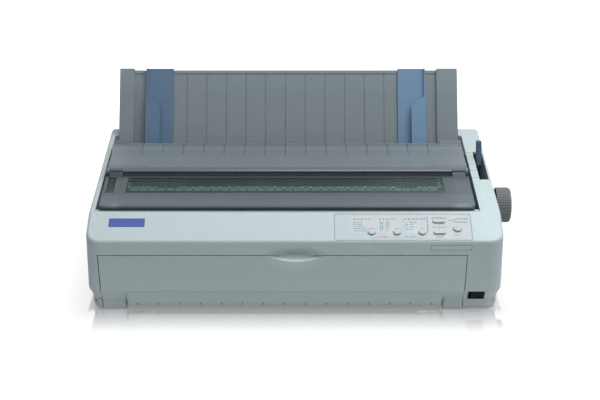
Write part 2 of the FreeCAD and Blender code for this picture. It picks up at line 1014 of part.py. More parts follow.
def lever_slot_cuts():
    cuts = [block(slot_left, slot_right, slot_front_y, slot_rear_y, strip_height - overrun, case_top + overrun)]
    mark_right = slot_left - slot_mark_gap
    mark_left = mark_right - slot_mark_width
    for place in slot_mark_places:
        surface = strip_height + cheek_rise * (place - strip_depth) / cheek_run
        cuts.append(block(mark_left, mark_right, place, place + slot_mark_length,
                          surface - slot_mark_depth, case_top + overrun))
    return cuts


def rear_wall_cuts():
    """Holes in the rear wall for the inlet, ports, screws and vents."""
    outside = body_depth + overrun
    inside = body_depth - case_wall - overrun
    inlet_left = inlet_x - inlet_width / 2
    cuts = [block(inlet_left, inlet_left + inlet_width, inside, outside, inlet_low, inlet_low + inlet_height)]
    for centre, width, height in ((-parallel_x, parallel_width, parallel_height), (-usb_x, usb_width, usb_height)):
        cuts.append(block(centre - width / 2, centre + width / 2, inside, outside, port_low, port_low + height))
    for place in screw_places:
        cuts.append(rod_y(place, inside, outside, screw_height, screw_radius + seat_gap))
        cuts.append(rod_y(place, body_depth - screw_head_sink, outside, screw_height, screw_head_radius + seat_gap))
    for index in range(vent_count):
        left = vent_first_x + index * vent_pitch
        cuts.append(block(left, left + vent_width, inside, outside, vent_low, vent_low + vent_height))
    return cuts


def pivot_holes():
    """Holes in the cheek linings and the right wall for hinges and the knob shaft."""
    holes = []
    guide_pivot = guide_pivot_place()
    for near, far in ((open_left - cheek_lining, open_left), (open_right, open_right + cheek_lining)):
        start = near - overrun / 2
        end = far + overrun / 2
        holes.append(rod_x(start, end, rear_hinge_y, rear_hinge_z, rear_hinge_radius + running_clearance))
        holes.append(rod_x(start, end, guide_pivot[0], guide_pivot[1], guide_pin_radius + running_clearance))
    holes.append(rod_x(open_right - overrun, half_width + overrun, knob_y, knob_z, wall_hole_radius))
    return holes


def guide_pivot_place():
    lean = math.radians(guide_lean)
    return (guide_foot_y + guide_pivot_depth * math.cos(lean), guide_foot_z - guide_pivot_depth * math.sin(lean))


def make_upper_case():
    outer = case_solid(case_profile(), 0, case_corner_radius)
    outer = outer.makeFillet(case_edge_radius, rim_edges(outer))
    inner_outline = inset(case_profile(), case_wall)
    inner_outline = [(y, z if z > crease_height / 2 else z - case_wall - overrun) for y, z in inner_outline]
    inner = case_solid(inner_outline, case_wall, case_corner_radius - case_wall)
    shell = outer.cut(inner)
    lining_low = strip_height - lining_depth
    bay = block(open_left, open_right, strip_depth, body_depth + overrun, trough_height, case_top + overrun)
    linings = join([
        block(open_left - cheek_lining, open_left, strip_depth - cheek_lining, body_depth, lining_low, case_top),
        block(open_right, open_right + cheek_lining, strip_depth - cheek_lining, body_depth, lining_low, case_top),
        block(open_left, open_right, strip_depth - cheek_lining, strip_depth, lining_low, strip_height),
        block(open_left, open_right, strip_depth, strip_depth + ledge_depth, ledge_height - sheet_steel,
              ledge_height),
        block(open_left, open_right, trough_front_y, body_depth, trough_height - case_wall, trough_height),
        block(open_left - cheek_lining, -guide_left - rear_post_gap, trough_front_y, body_depth, trough_height,
              case_top),
        block(guide_right + rear_post_gap, open_right + cheek_lining, trough_front_y, body_depth, trough_height,
              case_top),
        block(scoop_offset - fascia_scoop_width / 2, scoop_offset + fascia_scoop_width / 2, case_wall,
              case_wall + fascia_scoop_depth, cover_height + panel_gap, cover_height + fascia_scoop_height),
    ]).common(outer)
    case = join([cut(shell, [bay]), linings])
    front_opening = plate_y(cover_outline(panel_gap), -overrun, case_wall + overrun)
    label = block(label_left, label_right, -overrun, label_depth, label_low, label_high)
    cuts = [front_opening, label, fascia_scoop()]
    cuts += strip_recesses() + lever_slot_cuts() + rear_wall_cuts() + pivot_holes()
    return cut(case, cuts)


def base_solid(margin, bottom, radius):
    """Tapered lower body, inset by a margin, from the split line down to a bottom height."""
    def plan(z, side_inset, end_inset):
        side = half_width - margin - side_inset
        end = margin + end_inset
        return round_plan(-side, side, end, body_depth - end, z, radius)
    low = plan(chamfer_bottom, base_side_inset, base_inset)
    slope = Part.makeLoft([plan(split_height, 0, 0), low], True, True)
    foot = Part.Face(low).extrude(point(0, 0, bottom - chamfer_bottom))
    return join([slope, foot])


def hinge_brackets():
    """Blocks behind the front wall that hold the front cover's pins."""
    brackets = []
    rear = cover_hinge_y + cover_lug_radius
    top = cover_hinge_z + cover_lug_radius
    for side, foot in ((-1, cover_left_foot), (1, cover_right_foot)):
        near = side * (foot + panel_gap + sliding_gap)
        far = near + side * cover_bracket_thickness
        brackets.append(block(min(near, far), max(near, far), base_inset, rear, foot_height, top))
    return brackets


def make_lower_case():
    outer = base_solid(0, foot_height, case_corner_radius)
    sole = [edge for edge in outer.Edges if edge.BoundBox.ZMax < foot_height + sheet_steel]
    outer = outer.makeFillet(base_edge_radius, sole)
    inner = base_solid(case_wall, floor_inside, case_corner_radius - case_wall)
    tabs = [block(place - tab_width / 2, place + tab_width / 2, body_depth - case_wall - tab_depth,
                  body_depth - case_wall, tab_low, tab_high) for place in screw_places]
    bosses = []
    for x in (-base_left + base_boss_margin, (base_right - base_left) / 2, base_right - base_boss_margin):
        for y in (base_front_y + base_boss_margin, base_rear_y - base_boss_margin):
            bosses.append(rod_z(x, y, foot_height + case_wall / 2, base_bottom, base_boss_radius))
    gap = panel_gap
    doorway = block(-cover_left_foot - gap, cover_right_foot + gap, -overrun, cover_swing_room, -overrun,
                    split_height + overrun)
    case = cut(outer.cut(inner), [doorway])
    case = join([case] + hinge_brackets() + tabs + bosses)
    pins = rod_x(-half_width, half_width, cover_hinge_y, cover_hinge_z, cover_pin_radius + running_clearance)
    switch_hole = on_chamfer(block(switch_left, switch_right, -overrun, switch_body_depth, switch_low, switch_high))
    screws = [rod_y(place, body_depth - case_wall - tab_depth, body_depth, screw_height, screw_radius)
              for place in screw_places]
    return cut(case, [pins, switch_hole] + screws)


def make_rubber_feet():
    feet = []
    for x in (-half_width + foot_margin_x, half_width - foot_margin_x):
        for y in (foot_margin_y, body_depth - foot_margin_y):
            feet.append(rod_z(x, y, 0, foot_height, foot_radius))
    return group(feet)


def make_case_screws():
    screws = []
    head_end = body_depth
    head_start = body_depth - screw_head_sink
    for place in screw_places:
        screw = join([
            rod_y(place, head_start, head_end, screw_height, screw_head_radius),
            rod_y(place, head_start - screw_length, head_start, screw_height, screw_radius),
        ])
        arm = screw_head_radius - screw_cross
        across = block(place - arm, place + arm, head_end - screw_cross, head_end + overrun,
                       screw_height - screw_cross / 2, screw_height + screw_cross / 2)
        upright = block(place - screw_cross / 2, place + screw_cross / 2, head_end - screw_cross,
                        head_end + overrun, screw_height - arm, screw_height + arm)
        screws.append(cut(screw, [across, upright]))
    return group(screws)


# Front cover


def cover_sheet(outline_margin):
    path = [
        (0, cover_height + overrun),
        (0, split_height),
        (base_inset, chamfer_bottom),
        (base_inset, cover_ground_gap),
    ]
    sheet = plate_x(band(path, cover_thickness), -half_width, half_width)
    return sheet.common(plate_y(cover_outline(outline_margin), -overrun, body_depth))


def lip_outline():
    inner_y = base_inset + cover_thickness
    return [
        (lip_top_drop * base_inset / base_chamfer_height / 2, split_height - lip_top_drop),
        (lip_mid_y, lip_mid_z),
        (lip_foot_y, lip_foot_z),
        (lip_foot_y + lip_foot_z - lip_bottom, lip_bottom),
        (inner_y, lip_bottom),
        (inner_y, chamfer_bottom),
        (cover_thickness, split_height - lip_top_drop),
    ]


def lip_marks():
    marks = []
    for index in range(lip_mark_count):
        left = -lip_mark_first + index * lip_mark_pitch
        profile = [(y + lip_mark_depth, z) for y, z in lip_outline()[:4]]
        outline = profile + [(-overrun, lip_bottom), (-overrun, split_height)]
        mark = plate_x(outline, left, left + lip_mark_width)
        marks.append(mark.common(block(left, left + lip_mark_width, -overrun, body_depth,
                                       lip_bottom - overrun, lip_bottom + lip_mark_height)))
    return marks


def scoop_drum(extra_radius, near, far):
    """Drum that leans back from the foot of the finger scoop, from near to far along its axis."""
    foot_z = cover_height - scoop_drop
    outline_radius = ((scoop_width / 2) ** 2 + scoop_drop ** 2) / (2 * scoop_drop)
    radius = outline_radius / math.cos(math.radians(scoop_lean))
    drum = rod_y(scoop_offset, near, far, foot_z + radius, radius + extra_radius)
    return turn_x(drum, 0, foot_z, scoop_lean)


def make_front_cover():
    sheet = cover_sheet(0)
    foot = block(-exit_left, exit_right, -overrun, body_depth, -overrun, lip_bottom)
    slits = [
        block(-exit_left, -exit_left + exit_slit_width, -overrun, body_depth, -overrun, exit_slit_top),
        block(exit_right - exit_slit_width, exit_right, -overrun, body_depth, -overrun, exit_slit_top),
    ]
    lip = plate_x(lip_outline(), -exit_left + exit_slit_width, exit_right - exit_slit_width)
    lip = cut(lip, lip_marks())
    pocket = scoop_drum(scoop_wall, -scoop_depth, scoop_depth + scoop_wall)
    pocket = pocket.common(plate_y(cover_outline(0), cover_thickness / 2, body_depth))
    parts = [cut(sheet, [foot] + slits), lip, pocket]
    inner_y = base_inset + cover_thickness / 2
    for side, edge in ((-1, cover_left_foot), (1, cover_right_foot)):
        outer_x = side * (edge - cover_lug_inset)
        inner_x = outer_x - side * cover_lug_thickness
        left = min(outer_x, inner_x)
        right = max(outer_x, inner_x)
        parts.append(rod_x(left, right, cover_hinge_y, cover_hinge_z, cover_lug_radius))
        parts.append(block(left, right, inner_y, cover_hinge_y, cover_hinge_z - cover_lug_radius / 2,
                           cover_hinge_z + cover_lug_radius))
        tip = side * (edge + panel_gap + cover_bracket_thickness)
        parts.append(rod_x(min(inner_x, tip), max(inner_x, tip), cover_hinge_y, cover_hinge_z, cover_pin_radius))
    return cut(join(parts), [scoop_drum(0, -overrun, scoop_depth)])


# Control panel


def button_bodies():
    """Plan solids of the six buttons' holes as (name, function of a margin, bottom and top)."""
    def round_one(place, radius):
        return lambda margin, low, high: rod_z(place[0], place[1], low, high, radius + margin)

    def pill(place):
        def build(margin, low, high):
            half_length = pill_length / 2 + margin
            half = pill_width / 2 + margin
            return round_block(place[0] - half_length, place[0] + half_length, place[1] - half,
                               place[1] + half, low, high, half - seat_gap / 2)
        return build

    bodies = {}
    for index, column in enumerate(round_button_columns):
        bodies["select_button_%d" % (index + 1)] = round_one((column, round_button_row), round_button_radius)
    bodies["feed_button"] = pill((pill_column, feed_button_row))
    bodies["eject_button"] = pill((pill_column, eject_button_row))
    bodies["pause_button"] = round_one((large_button_column, large_button_row), large_button_radius)
    return bodies


def lamp_places():
    places = [(panel_left + share * panel_width, lamp_row) for share in lamp_shares]
    alarm_column = panel_left + alarm_lamp_share * panel_width
    return places + [(alarm_column, alarm_lamp_row), (alarm_column, alarm_lamp_row - alarm_lamp_drop)]


def lamp_posts(margin, low, high):
    half = lamp_size / 2 + margin
    return [block(x - half, x + half, y - half, y + half, low, high) for x, y in lamp_places()]


def make_control_panel_plate():
    plate = panel_blank(-seat_gap, -panel_thickness, 0, panel_corner_radius - seat_gap)
    holes = [body(sliding_gap, -overrun, overrun) for body in button_bodies().values()]
    holes += lamp_posts(seat_gap / 2, -overrun, overrun)
    posts = []
    for x in (panel_left + board_margin * 2, panel_right - board_margin * 2):
        for y in (panel_low + board_margin + panel_post_radius, panel_high - board_margin - panel_post_radius):
            posts.append(rod_z(x, y, -board_drop, -panel_thickness / 2, panel_post_radius))
    return on_strip(join([cut(plate, holes)] + posts))


def make_panel_board():
    top = -board_drop
    board = block(panel_left + board_margin, panel_right - board_margin, panel_low + board_margin,
                  panel_high - board_margin, top - board_thickness, top)
    switches = []
    half = switch_size / 2
    places = [(column, round_button_row) for column in round_button_columns]
    places += [(pill_column, feed_button_row), (pill_column, eject_button_row)]
    places.append((large_button_column, large_button_row))
    for x, y in places:
        switches.append(block(x - half, x + half, y - half, y + half, top - board_thickness / 2, top + switch_height))
    return on_strip(join([board] + switches))


def make_indicator_lights():
    return on_strip(group(lamp_posts(0, -board_drop, 0)))


def make_button(body):
    """Cap with a flange under the plate and a stem that ends above its switch."""
    flange_top = -panel_thickness - seat_gap
    cap = body(0, flange_top - button_flange_thickness, button_rise)
    crown = [edge for edge in cap.Edges if edge.BoundBox.ZMin > button_rise - sheet_steel / 2]
    cap = cap.makeFillet(panel_thickness / 2, crown)
    flange = body(button_flange, flange_top - button_flange_thickness, flange_top)
    return on_strip(join([cap, flange]))


def make_buttons():
    buttons = {}
    stem_low = -board_drop + switch_height + button_travel + seat_gap
    for name, body in button_bodies().items():
        stem = on_strip(body(-button_stem_inset, stem_low, -panel_thickness))
        buttons[name] = join([make_button(body), stem])
    return buttons


def make_badge_plate():
    plate = block(-badge_left + seat_gap, -badge_right - seat_gap, badge_low + seat_gap, badge_high - seat_gap,
                  badge_proud - badge_thickness, badge_proud)
    return on_strip(plate)


# Power switch


def switch_mid():
    return (switch_left + switch_right) / 2


def make_switch_frame():
    body = block(switch_left, switch_right, -switch_proud, switch_body_depth, switch_low, switch_high)
    hollow = block(switch_left + switch_rim, switch_right - switch_rim, -overrun, switch_body_depth - switch_rim,
                   switch_low + switch_rim, switch_high - switch_rim)
    pins = rod_z(switch_mid(), rocker_pin_depth, switch_low + switch_rim / 2, switch_high - switch_rim / 2,
                 rocker_pin_radius + running_clearance)
    return on_chamfer(cut(body, [hollow, pins]))


def make_power_rocker():
    half = (switch_right - switch_left) / 2 - switch_rim - rocker_side_gap
    middle = switch_mid()
    outline = [
        (middle - half, -rocker_dish),
        (middle, 0),
        (middle + half, -rocker_dish),
        (middle + half * rocker_taper_share, rocker_depth),
        (middle - half * rocker_taper_share, rocker_depth),
    ]
    low = switch_low + switch_rim + sliding_gap
    high = switch_high - switch_rim - sliding_gap
    rocker = join([
        plate_z(outline, low, high),
        rod_z(middle, rocker_pin_depth, low - switch_rim / 2, high + switch_rim / 2, rocker_pin_radius),
    ])
    rocker.rotate(point(middle, rocker_pin_depth, 0), along_z, rocker_tilt)
    return on_chamfer(rocker)


# Rear cover, rod and lid


def rear_cover_top():
    return [
        (rear_cover_front_y, rear_cover_front_z),
        (rear_cover_front_y + rear_cover_nose_depth, rear_cover_nose_z),
        (rear_cover_band_y, rear_cover_band_z),
        (rear_cover_rear_y - rear_cover_nose_depth, rear_cover_crest_z),
        (rear_cover_rear_y, rear_cover_crest_z - rear_cover_nose_depth),
        (rear_cover_rear_y, rear_cover_crest_z - rear_cover_rear_drop),
    ]


def band_height(y):
    """Height of the ribbed band's surface at a depth y."""
    rise = rear_cover_crest_z - rear_cover_band_z
    run = rear_cover_rear_y - rear_cover_nose_depth - rear_cover_band_y
    return rear_cover_band_z + rise * (y - rear_cover_band_y) / run


def rear_grooves():
    start = rear_cover_band_y + rear_groove_end_gap
    end = rear_cover_rear_y - rear_cover_nose_depth - rear_groove_end_gap
    profile = [
        (start, band_height(start) - rear_groove_depth),
        (end, band_height(end) - rear_groove_depth),
        (end, band_height(end) + overrun),
        (start, band_height(start) + overrun),
    ]
    grooves = []
    for index in range(rear_groove_count):
        x = -rear_groove_first + index * rear_groove_pitch
        grooves.append(plate_x(profile, x - rear_groove_width / 2, x + rear_groove_width / 2))
    return grooves


def front_steps():
    """Shallow steps in the cover's front corners, over the ends of the lid rod."""
    front = rear_cover_front_y + front_step_setback
    rise = (rear_cover_band_z - rear_cover_nose_z) / (rear_cover_band_y - rear_cover_front_y - rear_cover_nose_depth)
    low = rear_cover_nose_z - front_step_sink + rise * (front_step_setback - rear_cover_nose_depth)
    profile = [
        (front, low),
        (front + front_step_width, low + rise * front_step_width),
        (front + front_step_width, low + overrun),
        (front, low + overrun),
    ]
    return [plate_x(profile, -rear_cover_left, -rear_cover_left + front_step_length),
            plate_x(profile, rear_cover_right - front_step_length, rear_cover_right)]


def make_rear_cover():
    left = -rear_cover_left
    right = rear_cover_right
    sheet = plate_x(band(rear_cover_top(), -rear_cover_thickness), left, right)
    side = rear_cover_top() + [(rear_cover_rear_y - rear_skirt, rear_cover_crest_z - rear_skirt * 2),
                               (rear_cover_front_y + rear_skirt, rear_cover_front_z - rear_skirt),
                               (rear_cover_front_y, rear_cover_front_z - rear_cover_nose_depth)]
    left_skirt = plate_x(side, left, left + rear_cover_thickness)
    parts = [sheet, left_skirt, plate_x(side, right - rear_cover_thickness, right)]
    wedge = [
        (rear_cover_rear_y - end_wedge_depth, band_height(rear_cover_rear_y - end_wedge_depth)),
        (rear_cover_rear_y - end_wedge_depth, rear_cover_band_z),
        (rear_cover_rear_y, rear_cover_crest_z - rear_cover_rear_drop),
        (rear_cover_rear_y, rear_cover_crest_z + end_wedge_height - end_wedge_round),
        (rear_cover_rear_y - end_wedge_round, rear_cover_crest_z + end_wedge_height),
    ]
    parts.append(plate_x(wedge, left, left + end_wedge_left))
    parts.append(plate_x(wedge, right - end_wedge_right, right))
    for near, way, wall in ((left, 1, open_left - cheek_lining), (right, -1, open_right + cheek_lining)):
        far = near + way * rear_arm_thickness
        low_x = min(near, far)
        high_x = max(near, far)
        parts.append(rod_x(low_x, high_x, rear_hinge_y, rear_hinge_z, rear_arm_radius))
        parts.append(block(low_x, high_x, rear_hinge_y - rear_arm_radius, rear_hinge_y + rear_arm_radius,
                           rear_hinge_z, rear_cover_crest_z - rear_cover_rear_drop))
        parts.append(rod_x(min(far, wall), max(far, wall), rear_hinge_y, rear_hinge_z, rear_hinge_radius))
        bracket_far = near + way * rod_bracket_thickness
        low_x = min(near, bracket_far)
        high_x = max(near, bracket_far)
        parts.append(rod_x(low_x, high_x, hinge_rod_y, hinge_rod_z, rod_bracket_radius))
        parts.append(block(low_x, high_x, hinge_rod_y, rear_cover_front_y + rear_skirt,
                           hinge_rod_z - rod_bracket_radius, hinge_rod_z + hinge_rod_radius))
    cuts = [rod_x(left - overrun, right + overrun, hinge_rod_y, hinge_rod_z, hinge_rod_radius)]
    return cut(join(parts), cuts + rear_grooves() + front_steps())


def make_lid_hinge_rod():
    return rod_x(-rear_cover_left, rear_cover_right, hinge_rod_y, hinge_rod_z, hinge_rod_radius)


def lid_height(y):
    """Height of the lid's upper face at a depth y."""
    start = lid_front_y + lid_nose
    return lid_front_z + (lid_rear_z - lid_front_z) * (y - start) / (lid_rear_y - start)


def window_prisms(low, high):
    """Slanted slabs of the two windows' outlines between two depths below the lid's face."""
    outline = [
        (window_front_y, lid_height(window_front_y) - low),
        (window_rear_y, lid_height(window_rear_y) - low),
        (window_rear_y, lid_height(window_rear_y) - high),
        (window_front_y, lid_height(window_front_y) - high),
    ]
    return [plate_x(outline, -window_left, window_right), plate_x(outline, lever_window_left, lever_window_right)]


def make_printer_lid():
    left = -rear_cover_left
    right = rear_cover_right
    top = [
        (lid_front_y + lid_skirt_rake, lid_skirt_bottom),
        (lid_front_y, lid_front_z - lid_nose),
        (lid_front_y + lid_nose, lid_front_z),
        (lid_rear_y, lid_rear_z),
    ]
    side = top + [
        (lid_rear_y, lid_rear_z - lid_thickness * 2),
        (lid_front_y + rear_skirt, lid_skirt_bottom),
    ]
    sheet = join([
        plate_x(band(top, -lid_thickness), left, right),
        plate_x(side, left, left + lid_thickness),
        plate_x(side, right - lid_thickness, right),
    ])
    rounding = round_block(left, right, lid_front_y, body_depth, 0, case_top + overrun, lid_corner_radius)
    parts = [sheet.common(rounding)]
    root_y = lid_rear_y - knuckle_radius
    gusset = [
        (root_y, lid_height(root_y) - lid_thickness),
        (hinge_rod_y, hinge_rod_z - knuckle_radius),
        (hinge_rod_y - knuckle_radius, hinge_rod_z),
        (root_y, lid_height(root_y)),
    ]
    inset_x = rod_bracket_thickness + knuckle_gap
    for x in (left + inset_x, right - inset_x - knuckle_length):
        parts.append(rod_x(x, x + knuckle_length, hinge_rod_y, hinge_rod_z, knuckle_radius))
        parts.append(plate_x(gusset, x, x + knuckle_length))
    lid = join(parts)
    bore = rod_x(left - overrun, right + overrun, hinge_rod_y, hinge_rod_z, hinge_rod_radius + running_clearance)
    return cut(lid, [bore] + window_prisms(lid_thickness * 2, -lid_thickness))


def make_lid_window():
    return group(window_prisms(window_sink + window_thickness, window_sink))


# Paper guide, drawn upright


def pillar(left, right):
    post = block(left, right, 0, pillar_depth, -guide_foot_drop, guide_height)
    hollow = block(left + pillar_wall, right - pillar_wall, pillar_wall, pillar_depth + overrun,
                   guide_foot_drop + guide_barrel_radius, guide_height - pillar_wall)
    barrel = rod_x(left, right, guide_pivot_depth, 0, guide_barrel_radius)
    return join([cut(post, [hollow]), barrel])


def rail_top():
    return guide_height - rail_drop


def make_paper_guide():
    inner_left = -guide_left + pillar_left_width
    inner_right = guide_right - pillar_right_width
    slab_rear = slab_setback + slab_thickness
    rail_front = slab_setback - rail_proud
    parts = [
        pillar(-guide_left, inner_left),
        pillar(inner_right, guide_right),
        block(inner_left, inner_right, slab_setback, slab_rear, -guide_foot_drop, rail_top()),
        block(inner_left, inner_right, rail_front, rail_front + rail_depth, rail_top() - rail_height, rail_top()),
    ]
    rib_top = rail_top() - edge_hook_drop - edge_guide_thickness
    grooves = []
    for index in range(guide_groove_count):
        x = -guide_groove_first + index * guide_groove_pitch
        grooves.append(block(x - guide_groove_width / 2, x + guide_groove_width / 2, 0,
                             slab_setback + guide_groove_depth, -guide_foot_drop * 2, rail_top() - rail_height))
        parts.append(block(x - guide_rib_thickness / 2, x + guide_rib_thickness / 2, slab_rear,
                           slab_rear + guide_rib_height, 0, rib_top))
    for outer, wall in ((-guide_left, open_left - cheek_lining), (guide_right, open_right + cheek_lining)):
        parts.append(rod_x(min(outer, wall), max(outer, wall), guide_pivot_depth, 0, guide_pin_radius))
    grooves.append(block(inner_left, inner_right, -pillar_depth, slab_setback, -guide_foot_drop * 2, 0))
    return on_guide(cut(join(parts), grooves))


def make_edge_guide(side, outer):
    """Edge guide whose flange stands at its outer side; side is -1 for left, 1 for right."""
    def across(start, end):
        return (min(side * start, side * end), max(side * start, side * end))
    inner = outer - edge_guide_width
    rail_front = slab_setback - rail_proud
    rear = rail_front - sliding_gap
    front = rear - edge_guide_thickness
    hook_low = rail_top() + sliding_gap
    top = hook_low + edge_guide_thickness
    lip_front = rail_front + rail_depth + sliding_gap
    lip_rear = lip_front + edge_guide_thickness
    flap_front = front - edge_flange_depth
    left, right = across(inner, outer)
    flange_left, flange_right = across(outer - edge_guide_thickness, outer)
    flap_inner = outer - edge_flap_width
    knee = outer - edge_flap_width * edge_flap_knee_share
    flap = [
        (side * outer, edge_guide_bottom),
        (side * outer, edge_flap_outer_height),
        (side * knee, edge_flap_knee_height),
        (side * flap_inner, edge_flap_inner_height),
        (side * flap_inner, edge_guide_bottom),
    ]
    return on_guide(join([
        block(left, right, front, rear, edge_guide_bottom, top),
        block(left, right, front, lip_rear, hook_low, top),
        block(left, right, lip_front, lip_rear, rail_top() - edge_hook_drop, top),
        block(flange_left, flange_right, flap_front, rear, edge_guide_bottom, edge_flap_outer_height),
        block(flange_left, flange_right, front - edge_flange_depth / 3, rear, edge_guide_bottom, top),
        plate_y(flap, flap_front, flap_front + edge_guide_thickness),
    ]))


# Steel frame


def make_base_frame():
    left = -base_left
    right = base_right
    bracket_front = lever_pivot_y - lever_bracket_width / 2
    bracket_rear = lever_pivot_y + lever_bracket_width / 2
    return join([
        block(left, right, base_front_y, base_rear_y, base_bottom, base_top),
        block(left, right, base_front_y, base_front_y + base_thickness, base_bottom, base_top + base_flange),
        block(left, right, base_rear_y - base_thickness, base_rear_y, base_bottom, base_top + base_flange),
        block(right, lever_bracket_x, bracket_front, bracket_rear, base_bottom, base_top),
        block(lever_bracket_x - sheet_steel, lever_bracket_x, bracket_front, bracket_rear, base_bottom,
              lever_pivot_z + lever_bracket_top),
        rod_x(lever_bracket_x - sheet_steel, lever_x + lever_grip_width / 2, lever_pivot_y, lever_pivot_z,
              lever_pin_radius),
    ])


def bush_outer_radius(shaft_radius):
    return shaft_radius + bush_wall


def bushed_shafts(right_side):
    """Centres and radii of the shafts that turn in bushes on one side frame."""
    shafts = [(platen_y, platen_z, platen_shaft_radius), (tractor_y, tractor_z, tractor_shaft_radius)]
    if right_side:
        shafts.append((knob_y, knob_z, knob_shaft_radius))
    return shafts


def frame_outline():
    return [
        (frame_front_y, base_top),
        (frame_rear_y, base_top),
        (frame_rear_y, frame_tail_z),
        (frame_tower_rear_y + frame_tower_slope, frame_tail_z),
        (frame_tower_rear_y, frame_tower_z),
        (frame_tower_front_y + frame_tower_slope, frame_tower_z),
        (frame_tower_front_y, frame_cradle_z),
        (frame_front_y, frame_cradle_z),
    ]


def pulley_base():
    return belt_low_z - seat_gap - pulley_flange_thickness


def tab_top():
    return pulley_base() - motor_tab_gap


def frame_plate(inner_x, side):
    """One side frame: plate, foot and holes; side is -1 for left, 1 for right."""
    outer_x = inner_x + side * sheet_steel
    left = min(inner_x, outer_x)
    right = max(inner_x, outer_x)
    foot_x = outer_x - side * frame_foot_width
    plate = join([
        plate_x(frame_outline(), left, right),
        block(min(foot_x, outer_x), max(foot_x, outer_x), frame_front_y, frame_rear_y, base_top,
              base_top + sheet_steel),
    ])
    holes = [rod_x(left - overrun, right + overrun, y, z, bush_outer_radius(radius))
             for y, z, radius in bushed_shafts(side > 0)]
    holes.append(rod_x(left - overrun, right + overrun, carriage_shaft_y, carriage_shaft_z, carriage_shaft_radius))
    holes.append(rod_x(left - overrun, right + overrun, tractor_y + tractor_span, tractor_z, tractor_shaft_radius))
    return cut(plate, holes)


def make_left_side_frame():
    inner = -left_frame_x
    tab = block(inner - sheet_steel / 2, -drive_pulley_x + motor_tab_margin, belt_y - motor_tab_margin,
                belt_y + motor_tab_margin, tab_top() - sheet_steel, tab_top())
    hole = rod_z(-drive_pulley_x, belt_y, 0, pulley_base(), pulley_pin_radius + pulley_flange)
    stud = rod_x(-thickness_lever_x - thickness_lever_width, inner, thickness_pivot_y, thickness_pivot_z,
                 thickness_pin_radius)
    return join([frame_plate(inner, -1), cut(tab, [hole]), stud])


def make_right_side_frame():
    inner = right_frame_x
    margin = pulley_radius + pulley_flange
    tab = block(idler_pulley_x - margin, inner + sheet_steel / 2, belt_y - margin, belt_y + margin,
                tab_top() - sheet_steel, tab_top())
    pulley_stud = rod_z(idler_pulley_x, belt_y, tab_top() - sheet_steel, belt_low_z + belt_width + pulley_flange,
                        pulley_pin_radius)
    idler_stud = rod_x(inner, gear_end_x + gear_gap, idler_y, idler_z, gear_stud_radius)
    return join([frame_plate(inner, 1), tab, pulley_stud, idler_stud])


def make_shaft_bushings():
    bushes = []
    for inner, side in ((-left_frame_x, -1), (right_frame_x, 1)):
        near = inner - side * bush_overhang
        far = inner + side * (sheet_steel + bush_overhang)
        for y, z, radius in bushed_shafts(side > 0):
            low = min(near, far)
            high = max(near, far)
            bush = rod_x(low, high, y, z, bush_outer_radius(radius))
            bushes.append(cut(bush, [rod_x(low - overrun, high + overrun, y, z, radius + running_clearance)]))
    return group(bushes)


def make_carriage_shaft():
    return rod_x(-left_frame_x - sheet_steel, right_frame_x + sheet_steel, carriage_shaft_y, carriage_shaft_z,
                 carriage_shaft_radius)


def make_carriage_rail():
    return block(-left_frame_x, right_frame_x, rail_y, rail_y + sheet_steel, rail_low_z, rail_high_z)


def make_tractor_guide_shaft():
    return rod_x(-left_frame_x - sheet_steel, right_frame_x + sheet_steel, tractor_y + tractor_span, tractor_z,
                 tractor_shaft_radius)


# Paper path


def make_paper_chute():
    path = [chute_foot, chute_bend, chute_rise, chute_head]
    sheet = plate_x(band(path, -chute_thickness), -chute_left, chute_right)
    rib = [chute_bend, chute_rise, (chute_rise[0], base_top), (chute_bend[0], base_top)]
    ribs = []
    for share in chute_rib_shares:
        x = -chute_left + share * (chute_left + chute_right)
        ribs.append(plate_x(rib, x - chute_rib_thickness / 2, x + chute_rib_thickness / 2))
    lifted = cut(join(ribs), [plate_x(band(path, chute_thickness * 8), -half_width, half_width)])
    return join([sheet, lifted])


def make_paper_pan():
    outer = platen_radius + pan_gap + pan_thickness
    inner = platen_radius + pan_gap
    left = -left_frame_x
    drum = Part.makeCylinder(outer, right_frame_x - left, point(left, platen_y, platen_z), along_x, pan_sweep)
    start_turn = drum.copy()
    start_turn.rotate(point(left, platen_y, platen_z), along_x, pan_start - 90)
    return cut(start_turn, [rod_x(left - overrun, right_frame_x + overrun, platen_y, platen_z, inner)])


# Platen train


def make_platen_shaft():
    return rod_x(-left_frame_x - sheet_steel - bush_overhang, gear_end_x, platen_y, platen_z, platen_shaft_radius)


def make_platen_roller():
    roller = rod_x(-platen_left, platen_right, platen_y, platen_z, platen_radius)
    bore = rod_x(-platen_left - overrun, platen_right + overrun, platen_y, platen_z, platen_shaft_radius)
    return cut(roller, [bore])


def make_platen_gear():
    return gear_x(platen_teeth, platen_y, platen_z, platen_angle, platen_shaft_radius)


def make_knob_shaft():
    """Knob shaft with its gear moulded on."""
    shaft = rod_x(right_frame_x - bush_overhang, knob_outer_x - knob_rim_radius, knob_y, knob_z, knob_shaft_radius)
    return join([shaft, gear_x(knob_teeth, knob_y, knob_z, knob_angle, knob_shaft_radius)])


